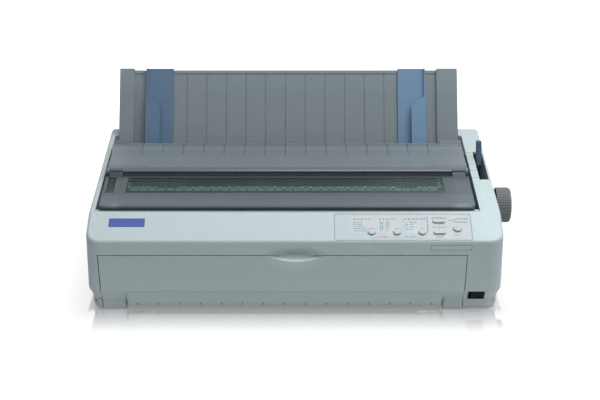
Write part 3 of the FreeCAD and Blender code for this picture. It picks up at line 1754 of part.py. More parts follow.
def make_platen_knob():
    blank = rod_x(knob_inner_x, knob_outer_x, knob_y, knob_z, knob_radius)
    rim = [edge for edge in blank.Edges if edge.BoundBox.XMin > knob_outer_x - sheet_steel]
    body = blank.makeFillet(knob_rim_radius, rim)
    hub = rod_x(half_width + knob_hub_gap, knob_inner_x + overrun, knob_y, knob_z, knob_hub_radius)
    ring = rod_x(knob_inner_x - overrun, knob_inner_x + knob_hollow_depth, knob_y, knob_z, knob_hollow_outer)
    core = rod_x(knob_inner_x - overrun, knob_inner_x + knob_hollow_depth, knob_y, knob_z, knob_hollow_inner)
    shaft = rod_x(half_width - overrun, knob_outer_x - knob_rim_radius, knob_y, knob_z, knob_shaft_radius)
    reach = knob_radius + knob_groove_radius - knob_groove_depth
    grooves = [rod_x(knob_inner_x - overrun, knob_outer_x + overrun, knob_y + dy, knob_z + dz, knob_groove_radius)
               for dy, dz in ring_places(knob_groove_count, reach)]
    return cut(join([body.cut(ring.cut(core)), hub]), [shaft] + grooves)


def make_idler_gear():
    return gear_x(idler_teeth, idler_y, idler_z, idler_angle, gear_stud_radius + running_clearance)


def motor_start_x():
    return gear_end_x + motor_gap


def make_feed_pinion():
    wheel = gear_x(pinion_teeth, pinion_y, pinion_z, pinion_angle, motor_shaft_radius)
    shaft_end = motor_start_x() + motor_plate + motor_bore_depth
    return join([wheel, rod_x(gear_start_x, shaft_end, pinion_y, pinion_z, motor_shaft_radius)])


def make_feed_motor():
    start = motor_start_x()
    plate_end = start + motor_plate
    low = pinion_z - motor_post_drop - motor_plate_margin
    plate = block(start, plate_end, pinion_y - motor_post_spread - motor_plate_margin,
                  pinion_y + motor_post_spread + motor_plate_margin, low, pinion_z + feed_motor_radius)
    body = rod_x(plate_end, plate_end + feed_motor_length, pinion_y, pinion_z, feed_motor_radius)
    parts = [plate, body]
    for y in (pinion_y - motor_post_spread, pinion_y + motor_post_spread):
        parts.append(rod_x(right_frame_x + sheet_steel, plate_end, y, pinion_z - motor_post_drop, motor_post_radius))
    bore = rod_x(start - overrun, plate_end + motor_bore_depth + motor_gap, pinion_y, pinion_z,
                 motor_shaft_radius + running_clearance)
    return cut(join(parts), [bore])


def make_tractor_drive_shaft():
    """Tractor drive shaft with its gear moulded on."""
    shaft = rod_x(-left_frame_x - sheet_steel - bush_overhang, gear_end_x, tractor_y, tractor_z, tractor_shaft_radius)
    return join([shaft, gear_x(tractor_teeth, tractor_y, tractor_z, tractor_angle, tractor_shaft_radius)])


def tractor_front():
    return tractor_y - tractor_nose


def tractor_rear():
    return tractor_y + tractor_span + tractor_nose


def tractor_top():
    return tractor_z + tractor_high


def flap_hinge(side, centre):
    """x and z of the flap's hinge line, at the tractor's outer side."""
    return centre + side * (tractor_width / 2 + flap_knuckle_radius), tractor_top() + flap_gap


def make_tractor(side, centre):
    left = centre - tractor_width / 2
    right = centre + tractor_width / 2
    low = tractor_z - tractor_low
    parts = [block(left, right, tractor_front(), tractor_rear(), low, tractor_top())]
    first = tractor_y - tractor_pin_pitch / 4
    for index in range(tractor_pin_count):
        y = first + index * tractor_pin_pitch
        parts.append(rod_z(centre, y, tractor_top() - overrun, tractor_top() + tractor_pin_height,
                           tractor_pin_radius))
    hinge_x, hinge_z = flap_hinge(side, centre)
    wall = centre + side * (tractor_width / 2 - sheet_steel)
    ear_far = hinge_x + side * flap_knuckle_radius
    for start in (tractor_front(), tractor_rear() - flap_ear_length):
        parts.append(block(min(wall, ear_far), max(wall, ear_far), start, start + flap_ear_length,
                           low, tractor_top() - sheet_steel))
        parts.append(block(hinge_x - flap_knuckle_radius, hinge_x + flap_knuckle_radius, start,
                           start + flap_ear_length, low, hinge_z + flap_knuckle_radius))
    cuts = [rod_y(hinge_x, tractor_front() - overrun, tractor_rear() + overrun, hinge_z,
                  flap_pin_radius + running_clearance)]
    for y in (tractor_y, tractor_y + tractor_span):
        cuts.append(rod_x(left - overrun * 4, right + overrun * 4, y, tractor_z,
                          tractor_shaft_radius + running_clearance))
    return cut(join(parts), cuts)


def make_tractor_flap(side, centre):
    """Flip-up cover that keeps the paper on the pins, with a slot over them."""
    hinge_x, hinge_z = flap_hinge(side, centre)
    start = tractor_front() + flap_ear_length + sliding_gap
    end = tractor_rear() - flap_ear_length - sliding_gap
    far = hinge_x - side * (flap_knuckle_radius + flap_width)
    low = hinge_z - flap_thickness / 2
    parts = [
        block(min(hinge_x, far), max(hinge_x, far), start, end, low, low + flap_thickness),
        rod_y(hinge_x, start, end, hinge_z, flap_knuckle_radius),
        rod_y(hinge_x, tractor_front(), tractor_rear(), hinge_z, flap_pin_radius),
    ]
    slot = block(centre - flap_slot_width / 2, centre + flap_slot_width / 2, start + flap_slot_end,
                 end - flap_slot_end, low - overrun, low + overrun)
    return cut(join(parts), [slot])


# Carriage and belt


def ribbon_front():
    return platen_y - platen_radius - ribbon_platen_gap - ribbon_thickness


def make_carriage():
    left = carriage_x - carriage_width / 2
    right = carriage_x + carriage_width / 2
    front = carriage_shaft_y - carriage_front
    rear = carriage_shaft_y + carriage_back
    low = carriage_shaft_z - carriage_low
    top = carriage_shaft_z + carriage_high
    arm_left = carriage_x - arm_width / 2
    arm_right = carriage_x + arm_width / 2
    arm_low = rail_high_z + arm_rise
    slot_front = rail_y - sliding_gap
    slot_rear = rail_y + sheet_steel + sliding_gap
    lip_low = rail_high_z - arm_lip_drop
    parts = [
        block(left, right, front, rear, low, top),
        block(arm_left, arm_right, slot_front - arm_lip, front, arm_low, arm_low + arm_height),
        block(arm_left, arm_right, slot_front - arm_lip, slot_front, lip_low, arm_low + arm_height),
        block(arm_left, arm_right, slot_rear, slot_rear + arm_lip, lip_low, arm_low + arm_height),
    ]
    run_front = belt_y + pulley_radius + sliding_gap
    clamp = block(carriage_x - clamp_width / 2, carriage_x + clamp_width / 2, run_front - sliding_gap - clamp_wall,
                  run_front + belt_thickness + sliding_gap + clamp_wall, belt_low_z - sliding_gap - clamp_wall, top)
    slot = block(left, right, run_front - sliding_gap, run_front + belt_thickness + sliding_gap,
                 belt_low_z - sliding_gap, belt_low_z + belt_width + sliding_gap)
    bore = rod_x(left - overrun, right + overrun, carriage_shaft_y, carriage_shaft_z,
                 carriage_shaft_radius + running_clearance)
    return cut(join(parts + [clamp]), [bore, slot])


def make_print_head():
    left = carriage_x - head_width / 2
    right = carriage_x + head_width / 2
    front = carriage_shaft_y - head_front
    rear = front + head_depth
    low = carriage_shaft_z + carriage_high
    body = block(left, right, front, rear, low, low + head_height)
    fins = []
    pitch = (head_height - head_fin_gap) / head_fin_count
    for index in range(head_fin_count):
        z = low + head_fin_gap + index * pitch
        fins.append(block(left - overrun, left + head_fin_depth, front - overrun, rear, z, z + head_fin_gap))
        fins.append(block(right - head_fin_depth, right + overrun, front - overrun, rear, z, z + head_fin_gap))
    tip = ribbon_front() - head_ribbon_gap
    outline = [
        (carriage_x - nose_width / 2, rear - sheet_steel),
        (carriage_x + nose_width / 2, rear - sheet_steel),
        (carriage_x + nose_tip_width / 2, tip),
        (carriage_x - nose_tip_width / 2, tip),
    ]
    nose = plate_z(outline, platen_z - nose_height / 2, platen_z + nose_height / 2)
    return join([cut(body, fins), nose])


def race(margin, low, high):
    """Solid with the outline of the belt's inner side, grown by a margin."""
    reach = pulley_radius + sliding_gap + margin
    return round_block(-drive_pulley_x - reach, idler_pulley_x + reach, belt_y - reach, belt_y + reach, low, high,
                       reach * round_share)


def make_carriage_belt():
    outer = race(belt_thickness, belt_low_z, belt_low_z + belt_width)
    return outer.cut(race(0, belt_low_z - overrun, belt_low_z + belt_width + overrun))


def pulley(x):
    low = pulley_base()
    top = belt_low_z + belt_width + seat_gap
    flange = pulley_radius + pulley_flange
    return join([
        rod_z(x, belt_y, low, top + pulley_flange_thickness, pulley_radius),
        rod_z(x, belt_y, low, low + pulley_flange_thickness, flange),
        rod_z(x, belt_y, top, top + pulley_flange_thickness, flange),
    ])


def make_drive_pulley():
    pin = rod_z(-drive_pulley_x, belt_y, tab_top() - sheet_steel - carriage_motor_bore, pulley_base(),
                pulley_pin_radius)
    return join([pulley(-drive_pulley_x), pin])


def make_idler_pulley():
    bore = rod_z(idler_pulley_x, belt_y, 0, case_top, pulley_pin_radius + running_clearance)
    return cut(pulley(idler_pulley_x), [bore])


def make_carriage_motor():
    top = tab_top() - sheet_steel
    bore_bottom = top - carriage_motor_bore - sliding_gap
    motor = rod_z(-drive_pulley_x, belt_y, top - carriage_motor_height, top, carriage_motor_radius)
    return cut(motor, [rod_z(-drive_pulley_x, belt_y, bore_bottom, top, pulley_pin_radius + running_clearance)])


# Ribbon


def make_ribbon_cartridge():
    low = frame_cradle_z
    top = low + cartridge_height
    body = round_block(-cartridge_left, cartridge_right, cartridge_front_y, cartridge_rear_y, low, top,
                       cartridge_edge_radius)
    arm_end = ribbon_front() + ribbon_thickness
    arms = []
    for outer, inner in ((-cartridge_arm_left_out, -cartridge_arm_left_in),
                         (cartridge_arm_right_out, cartridge_arm_right_in)):
        arms.append(block(min(outer, inner), max(outer, inner), cartridge_rear_y - overrun, arm_end,
                          cartridge_arm_low_z, top))
    stem = rod_z(-ribbon_knob_x, (cartridge_front_y + cartridge_rear_y) / 2, top - ribbon_stem_depth, top + overrun,
                 ribbon_stem_radius + running_clearance)
    return cut(join([body] + arms), [stem])


def make_ink_ribbon():
    front = ribbon_front()
    low = platen_z - ribbon_height / 2
    return block(-cartridge_arm_left_in, cartridge_arm_right_in, front, front + ribbon_thickness, low,
                 low + ribbon_height)


def make_ribbon_knob():
    centre_y = (cartridge_front_y + cartridge_rear_y) / 2
    top = frame_cradle_z + cartridge_height
    grip_low = top + sliding_gap
    grip_top = grip_low + ribbon_knob_height
    reach = ribbon_knob_radius + ribbon_knob_groove_radius - ribbon_knob_groove_depth
    grooves = [rod_z(-ribbon_knob_x + dx, centre_y + dy, grip_low - overrun, grip_top + overrun,
                     ribbon_knob_groove_radius)
               for dx, dy in ring_places(ribbon_knob_groove_count, reach)]
    grip = cut(rod_z(-ribbon_knob_x, centre_y, grip_low, grip_top, ribbon_knob_radius), grooves)
    stem = rod_z(-ribbon_knob_x, centre_y, top - ribbon_stem_depth + sliding_gap, top + ribbon_knob_height / 2,
                 ribbon_stem_radius)
    return join([grip, stem])


# Levers


def make_release_lever():
    half = lever_stem_thickness / 2
    stem_top = lever_length - lever_grip_length
    stem = join([
        block(lever_x - half, lever_x + half, -lever_stem_width / 2, lever_stem_width / 2, 0, stem_top),
        rod_x(lever_x - half, lever_x + half, 0, 0, lever_eye_radius),
    ])
    bore = rod_x(lever_x - overrun, lever_x + overrun, 0, 0, lever_pin_radius + running_clearance)
    return on_lever(cut(stem, [bore]))


def make_release_lever_grip():
    low = lever_length - lever_grip_length
    left = lever_x - lever_grip_width / 2
    front = -lever_grip_depth / 2
    grip = block(left, left + lever_grip_width, front, -front, low, lever_length)
    grip = grip.makeFillet(lever_grip_radius, grip.Edges)
    grooves = []
    for index in range(lever_groove_count):
        z = lever_length - lever_groove_pitch * (index + 1)
        ring = block(left - overrun, left + lever_grip_width + overrun, front - overrun, -front + overrun,
                     z - lever_groove_height, z)
        depth = lever_groove_depth
        core = block(left + depth, left + lever_grip_width - depth, front + depth, -front - depth,
                     z - lever_groove_height, z)
        grooves.append(ring.cut(core))
    return on_lever(cut(grip, grooves))


def make_thickness_lever():
    half = thickness_lever_width / 2
    left = -thickness_lever_x - half
    right = -thickness_lever_x + half
    pivot = (thickness_pivot_y, thickness_pivot_z)
    reach = thickness_arm / 2
    arm = plate_x(band([pivot, thickness_knee, thickness_tip], -thickness_arm), left, right)
    eye = rod_x(left, right, thickness_pivot_y + reach, thickness_pivot_z, thickness_eye_radius)
    eye.translate(point(0, -reach, 0))
    bore = rod_x(left - overrun, right + overrun, thickness_pivot_y, thickness_pivot_z,
                 thickness_pin_radius + running_clearance)
    return cut(join([arm, eye]), [bore])


# Boards and rear connections


def circuit_board(left, right):
    low = base_top + standoff_height
    parts = [block(left, right, pcb_front_y, pcb_rear_y, low, low + board_thickness)]
    for x in (left + pcb_corner, right - pcb_corner):
        for y in (pcb_front_y + pcb_corner, pcb_rear_y - pcb_corner):
            parts.append(rod_z(x, y, base_top, low + board_thickness / 2, standoff_radius))
    return parts


def component(left, right, shares):
    """Part on the board between left and right, with its place and size given as shares."""
    across, back, width, depth, height = shares
    low = base_top + standoff_height + board_thickness / 2
    start_x = left + across * (right - left)
    start_y = pcb_front_y + back * pcb_depth
    return block(start_x, start_x + width * (right - left), start_y, start_y + depth * pcb_depth, low,
                 low + height * tallest_part)


def make_main_board():
    parts = circuit_board(-main_pcb_left, -main_pcb_right)
    parts += [component(-main_pcb_left, -main_pcb_right, shares) for shares in chip_shares]
    return join(parts)


def make_power_supply():
    parts = circuit_board(supply_left, supply_right)
    parts += [component(supply_left, supply_right, shares) for shares in supply_shares]
    low = base_top + standoff_height + board_thickness / 2
    for across, back, radius, height in capacitor_shares:
        parts.append(rod_z(supply_left + across * (supply_right - supply_left), pcb_front_y + back * pcb_depth,
                           low, low + height * tallest_part, radius * capacitor_radius))
    return join(parts)


def socket(centre, width, low, height, depth, hollow, wall, flange, flange_thickness):
    """Rear socket that fills its hole, with a flange against the wall's inner face."""
    left = centre - width / 2
    right = centre + width / 2
    top = low + height
    inside = body_depth - case_wall
    shell = join([
        block(left, right, body_depth - depth, body_depth, low, top),
        block(left - flange, right + flange, inside - flange_thickness, inside, low - flange, top + flange),
    ])
    return cut(shell, [block(left + wall, right - wall, body_depth - hollow, body_depth + overrun,
                             low + wall, top - wall)])


def make_interface_connectors():
    ports = []
    for centre, width, height in ((-parallel_x, parallel_width, parallel_height), (-usb_x, usb_width, usb_height)):
        shell = socket(centre, width, port_low, height, port_body_depth, port_socket_depth, port_wall, port_flange,
                       port_flange_thickness)
        middle = port_low + height / 2
        half = width / 2 - port_wall * 2
        tongue = block(centre - half, centre + half, body_depth - port_socket_depth - port_wall / 2,
                       body_depth - port_wall, middle - port_tongue / 2, middle + port_tongue / 2)
        ports.append(join([shell, tongue]))
    return group(ports)


def make_power_inlet():
    shell = socket(inlet_x, inlet_width, inlet_low, inlet_height, inlet_body_depth, inlet_socket_depth, inlet_wall,
                   inlet_flange, inlet_flange_thickness)
    middle = inlet_low + inlet_height / 2
    pins = []
    for step in (-1, 0, 1):
        x = inlet_x + step * inlet_pin_pitch
        pins.append(block(x - inlet_pin_width / 2, x + inlet_pin_width / 2,
                          body_depth - inlet_socket_depth - inlet_wall / 2, body_depth - inlet_wall * 2,
                          middle - inlet_pin_height, middle))
    return join([shell] + pins)


# Export


def footprint_centre():
    """Middle of the whole object's footprint in the working frame."""
    lean = math.radians(guide_lean)
    rear = guide_foot_y + pillar_depth * math.cos(lean) + guide_height * math.sin(lean)
    return (knob_outer_x - half_width) / 2, rear / 2


def make_nodes():
    nodes = {
        "upper_case": make_upper_case(),
        "lower_case": make_lower_case(),
        "rubber_feet": make_rubber_feet(),
        "case_screws": make_case_screws(),
        "front_cover": make_front_cover(),
        "control_panel_plate": make_control_panel_plate(),
        "panel_board": make_panel_board(),
        "indicator_lights": make_indicator_lights(),
        "badge_plate": make_badge_plate(),
        "switch_frame": make_switch_frame(),
        "power_rocker": make_power_rocker(),
        "rear_cover": make_rear_cover(),
        "lid_hinge_rod": make_lid_hinge_rod(),
        "printer_lid": make_printer_lid(),
        "lid_window": make_lid_window(),
        "paper_guide": make_paper_guide(),
        "left_edge_guide": make_edge_guide(-1, edge_guide_left),
        "right_edge_guide": make_edge_guide(1, edge_guide_right),
        "base_frame": make_base_frame(),
        "left_side_frame": make_left_side_frame(),
        "right_side_frame": make_right_side_frame(),
        "shaft_bushings": make_shaft_bushings(),
        "carriage_shaft": make_carriage_shaft(),
        "carriage_rail": make_carriage_rail(),
        "tractor_guide_shaft": make_tractor_guide_shaft(),
        "paper_path": group([make_paper_chute(), make_paper_pan()]),
        "platen_shaft": make_platen_shaft(),
        "platen_roller": make_platen_roller(),
        "platen_gear": make_platen_gear(),
        "knob_shaft": make_knob_shaft(),
        "platen_knob": make_platen_knob(),
        "idler_gear": make_idler_gear(),
        "feed_pinion": make_feed_pinion(),
        "feed_motor": make_feed_motor(),
        "tractor_drive_shaft": make_tractor_drive_shaft(),
        "left_tractor": make_tractor(-1, -tractor_left_x),
        "right_tractor": make_tractor(1, tractor_right_x),
        "left_tractor_flap": make_tractor_flap(-1, -tractor_left_x),
        "right_tractor_flap": make_tractor_flap(1, tractor_right_x),
        "carriage": make_carriage(),
        "print_head": make_print_head(),
        "carriage_belt": make_carriage_belt(),
        "drive_pulley": make_drive_pulley(),
        "idler_pulley": make_idler_pulley(),
        "carriage_motor": make_carriage_motor(),
        "ribbon_cartridge": group([make_ribbon_cartridge(), make_ink_ribbon()]),
        "ribbon_knob": make_ribbon_knob(),
        "release_lever": make_release_lever(),
        "release_lever_grip": make_release_lever_grip(),
        "thickness_lever": make_thickness_lever(),
        "main_board": make_main_board(),
        "power_supply": make_power_supply(),
        "interface_connectors": make_interface_connectors(),
        "power_inlet": make_power_inlet(),
    }
    nodes.update(make_buttons())
    return nodes


def main():
    os.makedirs("parts", exist_ok=True)
    centre_x, centre_y = footprint_centre()
    for name, shape in make_nodes().items():
        placed = shape.copy()
        placed.translate(point(-centre_x, -centre_y, 0))
        placed.exportStep("parts/" + name + ".step")


main()
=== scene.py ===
import math
import random

import bpy
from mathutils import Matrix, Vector


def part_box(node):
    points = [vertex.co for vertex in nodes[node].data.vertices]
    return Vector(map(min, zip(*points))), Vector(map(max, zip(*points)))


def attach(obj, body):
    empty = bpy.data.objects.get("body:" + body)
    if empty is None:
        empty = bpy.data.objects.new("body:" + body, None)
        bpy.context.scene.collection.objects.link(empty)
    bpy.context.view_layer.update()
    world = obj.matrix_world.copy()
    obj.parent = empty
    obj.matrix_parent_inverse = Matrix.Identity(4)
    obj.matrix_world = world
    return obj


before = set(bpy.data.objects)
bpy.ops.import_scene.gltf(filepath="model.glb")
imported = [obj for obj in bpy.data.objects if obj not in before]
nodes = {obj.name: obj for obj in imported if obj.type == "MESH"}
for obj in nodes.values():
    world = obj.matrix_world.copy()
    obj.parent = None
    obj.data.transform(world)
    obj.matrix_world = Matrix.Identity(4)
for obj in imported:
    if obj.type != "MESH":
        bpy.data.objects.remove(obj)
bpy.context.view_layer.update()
MM = 0.001

# Working frame: x from the case's mid plane, y from the fascia, z from the floor, in mm
case_low, case_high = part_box("upper_case")
SHIFT = Vector(((case_low.x + case_high.x) / 2, case_low.y, 0))


def at(x, y, z):
    """A place in the working frame, as the scene's own place in metres."""
    return Vector((x, y, z)) * MM + SHIFT


def box_of(node):
    """A node's lowest and highest corners in the working frame."""
    return [(corner - SHIFT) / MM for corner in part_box(node)]


# Camera, solved from the edges in the photograph; pixels are those of its 600 x 400 frame
FRAME_WIDTH = 600.0
FOCAL = 1500.0
PITCH = math.radians(22.0)
EYE = Vector((0.0, -1995.0, 984.96))
CENTRE_U, CENTRE_V = 294.8, 200.0
SENSOR_WIDTH = 36.0
CLIP_NEAR, CLIP_FAR = 0.05, 30.0

# Front strip, which carries the panel: its slope, and the height of its lower edge
STRIP = math.atan2(23.5, 57.0)
CREASE = 114.0

camera_data = bpy.data.cameras.new("camera")
camera_data.sensor_fit = "HORIZONTAL"
camera_data.sensor_width = SENSOR_WIDTH
camera_data.lens = FOCAL / FRAME_WIDTH * SENSOR_WIDTH
camera_data.shift_x = (FRAME_WIDTH / 2 - CENTRE_U) / FRAME_WIDTH
camera_data.clip_start, camera_data.clip_end = CLIP_NEAR, CLIP_FAR
camera = bpy.data.objects.new("camera", camera_data)
camera.location = at(*EYE)
camera.rotation_euler = (math.radians(90) - PITCH, 0, 0)
bpy.context.scene.collection.objects.link(camera)
bpy.context.scene.camera = camera
bpy.context.scene.view_settings.view_transform = "Standard"


def pixel_ray(u, v):
    """Direction in which a pixel looks."""
    x = (u - CENTRE_U) / FOCAL
    up = (CENTRE_V - v) / FOCAL
    s, c = math.sin(PITCH), math.cos(PITCH)
    return Vector((x, c + up * s, up * c - s))


def strip_place(u, v):
    """Distances along x and up the front strip of the place seen at a pixel."""
    ray = pixel_ray(u, v)
    normal = Vector((0, -math.sin(STRIP), math.cos(STRIP)))
    origin = Vector((0, 0, CREASE))
    hit = EYE + ray * ((origin - EYE).dot(normal) / ray.dot(normal))
    return hit.x, hit.y / math.cos(STRIP)


def on_strip(x, s, height):
    """The scene's place at a distance along x, a distance up the strip and a height over it."""
    y = s * math.cos(STRIP) - height * math.sin(STRIP)
    z = CREASE + s * math.sin(STRIP) + height * math.cos(STRIP)
    return at(x, y, z)


# Shader nodes; a value is a number, a vector or another node's output


def feed(tree, socket, value):
    if isinstance(value, bpy.types.NodeSocket):
        tree.links.new(value, socket)
    else:
        socket.default_value = value


def math_node(tree, operation, *values):
    node = tree.nodes.new("ShaderNodeMath")
    node.operation = operation
    for socket, value in zip(node.inputs, values):
        feed(tree, socket, value)
    return node.outputs[0]


def vector_node(tree, operation, *values):
    node = tree.nodes.new("ShaderNodeVectorMath")
    node.operation = operation
    for socket, value in zip(node.inputs, values):
        feed(tree, socket, value)
    return node.outputs["Value" if operation in ("LENGTH", "DOT_PRODUCT") else "Vector"]


def scaled(tree, colour, value):
    node = tree.nodes.new("ShaderNodeVectorMath")
    node.operation = "SCALE"
    feed(tree, node.inputs[0], colour)
    feed(tree, node.inputs["Scale"], value)
    return node.outputs["Vector"]


def value_map(tree, source, from_low, from_high, low, high):
    """Map a source from one range to another and hold it at the ends."""
    node = tree.nodes.new("ShaderNodeMapRange")
    feed(tree, node.inputs["Value"], source)
    for name, value in (("From Min", from_low), ("From Max", from_high), ("To Min", low), ("To Max", high)):
        feed(tree, node.inputs[name], value)
    return node.outputs["Result"]


def object_place(tree):
    return tree.nodes.new("ShaderNodeTexCoord").outputs["Object"]


def face_normal(tree):
    return tree.nodes.new("ShaderNodeNewGeometry").outputs["True Normal"]


def split_axes(tree, vector):
    node = tree.nodes.new("ShaderNodeSeparateXYZ")
    feed(tree, node.inputs["Vector"], vector)
    return node.outputs


def noise(tree, place, scale, detail):
    node = tree.nodes.new("ShaderNodeTexNoise")
    feed(tree, node.inputs["Scale"], scale)
    feed(tree, node.inputs["Detail"], detail)
    feed(tree, node.inputs["Vector"], place)
    return node.outputs["Fac"]


def mottled(tree, source, rgb, dark, light):
    """Colour that a noise varies between two factors of one colour."""
    node = tree.nodes.new("ShaderNodeValToRGB")
    for element, position, factor in zip(node.color_ramp.elements, (0.3, 0.7), (dark, light)):
        element.position = position
        element.color = (*[min(1.0, c * factor) for c in rgb], 1)
    feed(tree, node.inputs["Fac"], source)
    return node.outputs["Color"]


def edge_normal(tree, radius):
    node = tree.nodes.new("ShaderNodeBevel")
    node.samples = 4
    feed(tree, node.inputs["Radius"], radius)
    return node.outputs["Normal"]


# Tones: factors on a material's colour that follow the place or the way a face looks, used to paint light and
# shade


def along(axis, low, high, stops):
    """Tone along one axis from low to high; stops are pairs of a place in mm and a factor up to 2."""
    def build(tree):
        origin = SHIFT["XYZ".index(axis)]
        place = split_axes(tree, object_place(tree))[axis]
        share = value_map(tree, place, low * MM + origin, high * MM + origin, 0, 1)
        node = tree.nodes.new("ShaderNodeValToRGB")
        elements = node.color_ramp.elements
        while len(elements) < len(stops):
            elements.new(0.5)
        for element, (stop, factor) in zip(elements, stops):
            element.position = (stop - low) / (high - low)
            element.color = (*[factor / 2] * 3, 1)
        feed(tree, node.inputs["Fac"], share)
        return value_map(tree, node.outputs["Color"], 0, 1, 0, 2)
    return build


def spot(centre, reach, factor, core):
    """Tone round a place, full inside the core's share of its reach along each axis, all in mm."""
    def build(tree):
        place = vector_node(tree, "SUBTRACT", object_place(tree), at(*centre))
        share = vector_node(tree, "DIVIDE", place, Vector(reach) * MM)
        return value_map(tree, vector_node(tree, "LENGTH", share), core, 1.0, factor, 1.0)
    return build


def facing(way, factor, low, high):
    """Tone on faces that look one way, from none at one cosine to full at another."""
    def build(tree):
        cosine = vector_node(tree, "DOT_PRODUCT", face_normal(tree), way)
        return value_map(tree, cosine, low, high, 1, factor)
    return build


def where(way, tone, low=0.6, high=0.9):
    """Another tone, kept to the faces that look one way."""
    def build(tree):
        cosine = vector_node(tree, "DOT_PRODUCT", face_normal(tree), way)
        mix = tree.nodes.new("ShaderNodeMix")
        feed(tree, mix.inputs["Factor"], value_map(tree, cosine, low, high, 0, 1))
        feed(tree, mix.inputs["A"], 1.0)
        feed(tree, mix.inputs["B"], tone(tree))
        return mix.outputs["Result"]
    return build


# Materials

BROAD_SCALE, BROAD_DETAIL, FINE_DETAIL = 40.0, 3.0, 2.0
BUMP_STRENGTH = 0.5
SPECKLE_SCALE, SPECKLE_DETAIL = 420.0, 1.0
ROUGH_SPREAD = 0.06
EDGE_COSINES = 0.995, 0.85
METAL_SCALE, METAL_DETAIL, METAL_EDGE = 60.0, 2.0, 0.3
SMOKED_SCALE, SMOKED_DETAIL = 24.0, 2.0


def new_material(name):
    material = bpy.data.materials.new(name)
    material.use_nodes = True
    tree = material.node_tree
    return material, tree, tree.nodes["Principled BSDF"]


def srgb(r, g, b):
    return tuple(((c / 255 + 0.055) / 1.055) ** 2.4 if c > 10 else c / 255 / 12.92 for c in (r, g, b))


def plastic(name, rgb, rough, grain, depth, mottling, edge, specular, coat=0.0, speckle=0.0, edge_factor=1.0,
            tones=()):
    """Moulded plastic: fine grain, slight mottling, softened edges, edges lightened by edge_factor as wear
    with a painted highlight or darkened by it as painted shade, and painted light and shade from the tones;
    lengths in mm.
    """
    material, tree, shader = new_material(name)
    broad = noise(tree, object_place(tree), BROAD_SCALE, BROAD_DETAIL)
    fine = noise(tree, object_place(tree), 1000.0 / grain, FINE_DETAIL)
    colour = mottled(tree, broad, rgb, 1 - mottling, 1 + mottling)
    if speckle:
        spots = noise(tree, object_place(tree), SPECKLE_SCALE, SPECKLE_DETAIL)
        colour = scaled(tree, colour, value_map(tree, spots, 0.35, 0.65, 1 - speckle, 1 + speckle))
    for tone in tones:
        colour = scaled(tree, colour, tone(tree))
    bump = tree.nodes.new("ShaderNodeBump")
    feed(tree, bump.inputs["Strength"], BUMP_STRENGTH)
    feed(tree, bump.inputs["Distance"], depth * MM)
    feed(tree, bump.inputs["Height"], fine)
    if edge:
        soft = edge_normal(tree, edge * MM)
        feed(tree, bump.inputs["Normal"], soft)
        # edge_factor paints the edges lighter, as wear with a painted highlight, or darker, as painted shade
        if edge_factor != 1.0:
            cosine = vector_node(tree, "DOT_PRODUCT", face_normal(tree), soft)
            colour = scaled(tree, colour, value_map(tree, cosine, *EDGE_COSINES, 1, edge_factor))
    feed(tree, shader.inputs["Base Color"], colour)
    feed(tree, shader.inputs["Roughness"],
         value_map(tree, fine, 0, 1, rough - ROUGH_SPREAD, rough + ROUGH_SPREAD))
    feed(tree, shader.inputs["Specular IOR Level"], specular)
    feed(tree, shader.inputs["Coat Weight"], coat)
    feed(tree, shader.inputs["Normal"], bump.outputs["Normal"])
    return material


def metal(name, rgb, rough, stretch):
    """Drawn or ground metal with fine lines, stretched less along x."""
    material, tree, shader = new_material(name)
    feed(tree, shader.inputs["Metallic"], 1.0)
    mapping = tree.nodes.new("ShaderNodeMapping")
    feed(tree, mapping.inputs["Scale"], stretch)
    feed(tree, mapping.inputs["Vector"], object_place(tree))
    lines = noise(tree, mapping.outputs["Vector"], METAL_SCALE, METAL_DETAIL)
    feed(tree, shader.inputs["Base Color"], mottled(tree, lines, rgb, 0.9, 1.08))
    feed(tree, shader.inputs["Roughness"], value_map(tree, lines, 0, 1, rough - 0.08, rough + 0.1))
    feed(tree, shader.inputs["Normal"], edge_normal(tree, METAL_EDGE * MM))
    return material


def smoked(name, rgb, clear, rough, tint, tones):
    """Smoked clear plastic: part of the light goes through, the rest is grey."""
    material, tree, shader = new_material(name)
    broad = noise(tree, object_place(tree), SMOKED_SCALE, SMOKED_DETAIL)
    colour = mottled(tree, broad, rgb, 0.93, 1.07)
    for tone in tones:
        colour = scaled(tree, colour, tone(tree))
    feed(tree, shader.inputs["Base Color"], colour)
    feed(tree, shader.inputs["Roughness"], value_map(tree, broad, 0, 1, rough - 0.02, rough + 0.02))
    feed(tree, shader.inputs["Specular IOR Level"], 0.0)
    through = tree.nodes.new("ShaderNodeBsdfTransparent")
    feed(tree, through.inputs["Color"], (*tint, 1))
    mix = tree.nodes.new("ShaderNodeMixShader")
    feed(tree, mix.inputs["Fac"], clear)
    feed(tree, mix.inputs[1], shader.outputs["BSDF"])
    feed(tree, mix.inputs[2], through.outputs["BSDF"])
    feed(tree, tree.nodes["Material Output"].inputs["Surface"], mix.outputs["Shader"])
    return material


# Tones of the looks, in mm of the working frame: painted light and shade

UP, LEFT, FRONT, STRIP_WAY = (0, 0, 1), (-1, 0, 0), (0, -1, 0), (0, -0.38, 0.92)
lid_low, lid_high = box_of("printer_lid")
window_low, window_high = box_of("lid_window")
rear_low, rear_high = box_of("rear_cover")
grip_top = box_of("release_lever_grip")[1].z
platen_y = sum(corner.y for corner in box_of("platen_roller")) / 2
BAR_FRONT, BAR_REAR = platen_y - 24.0, platen_y - 11.0
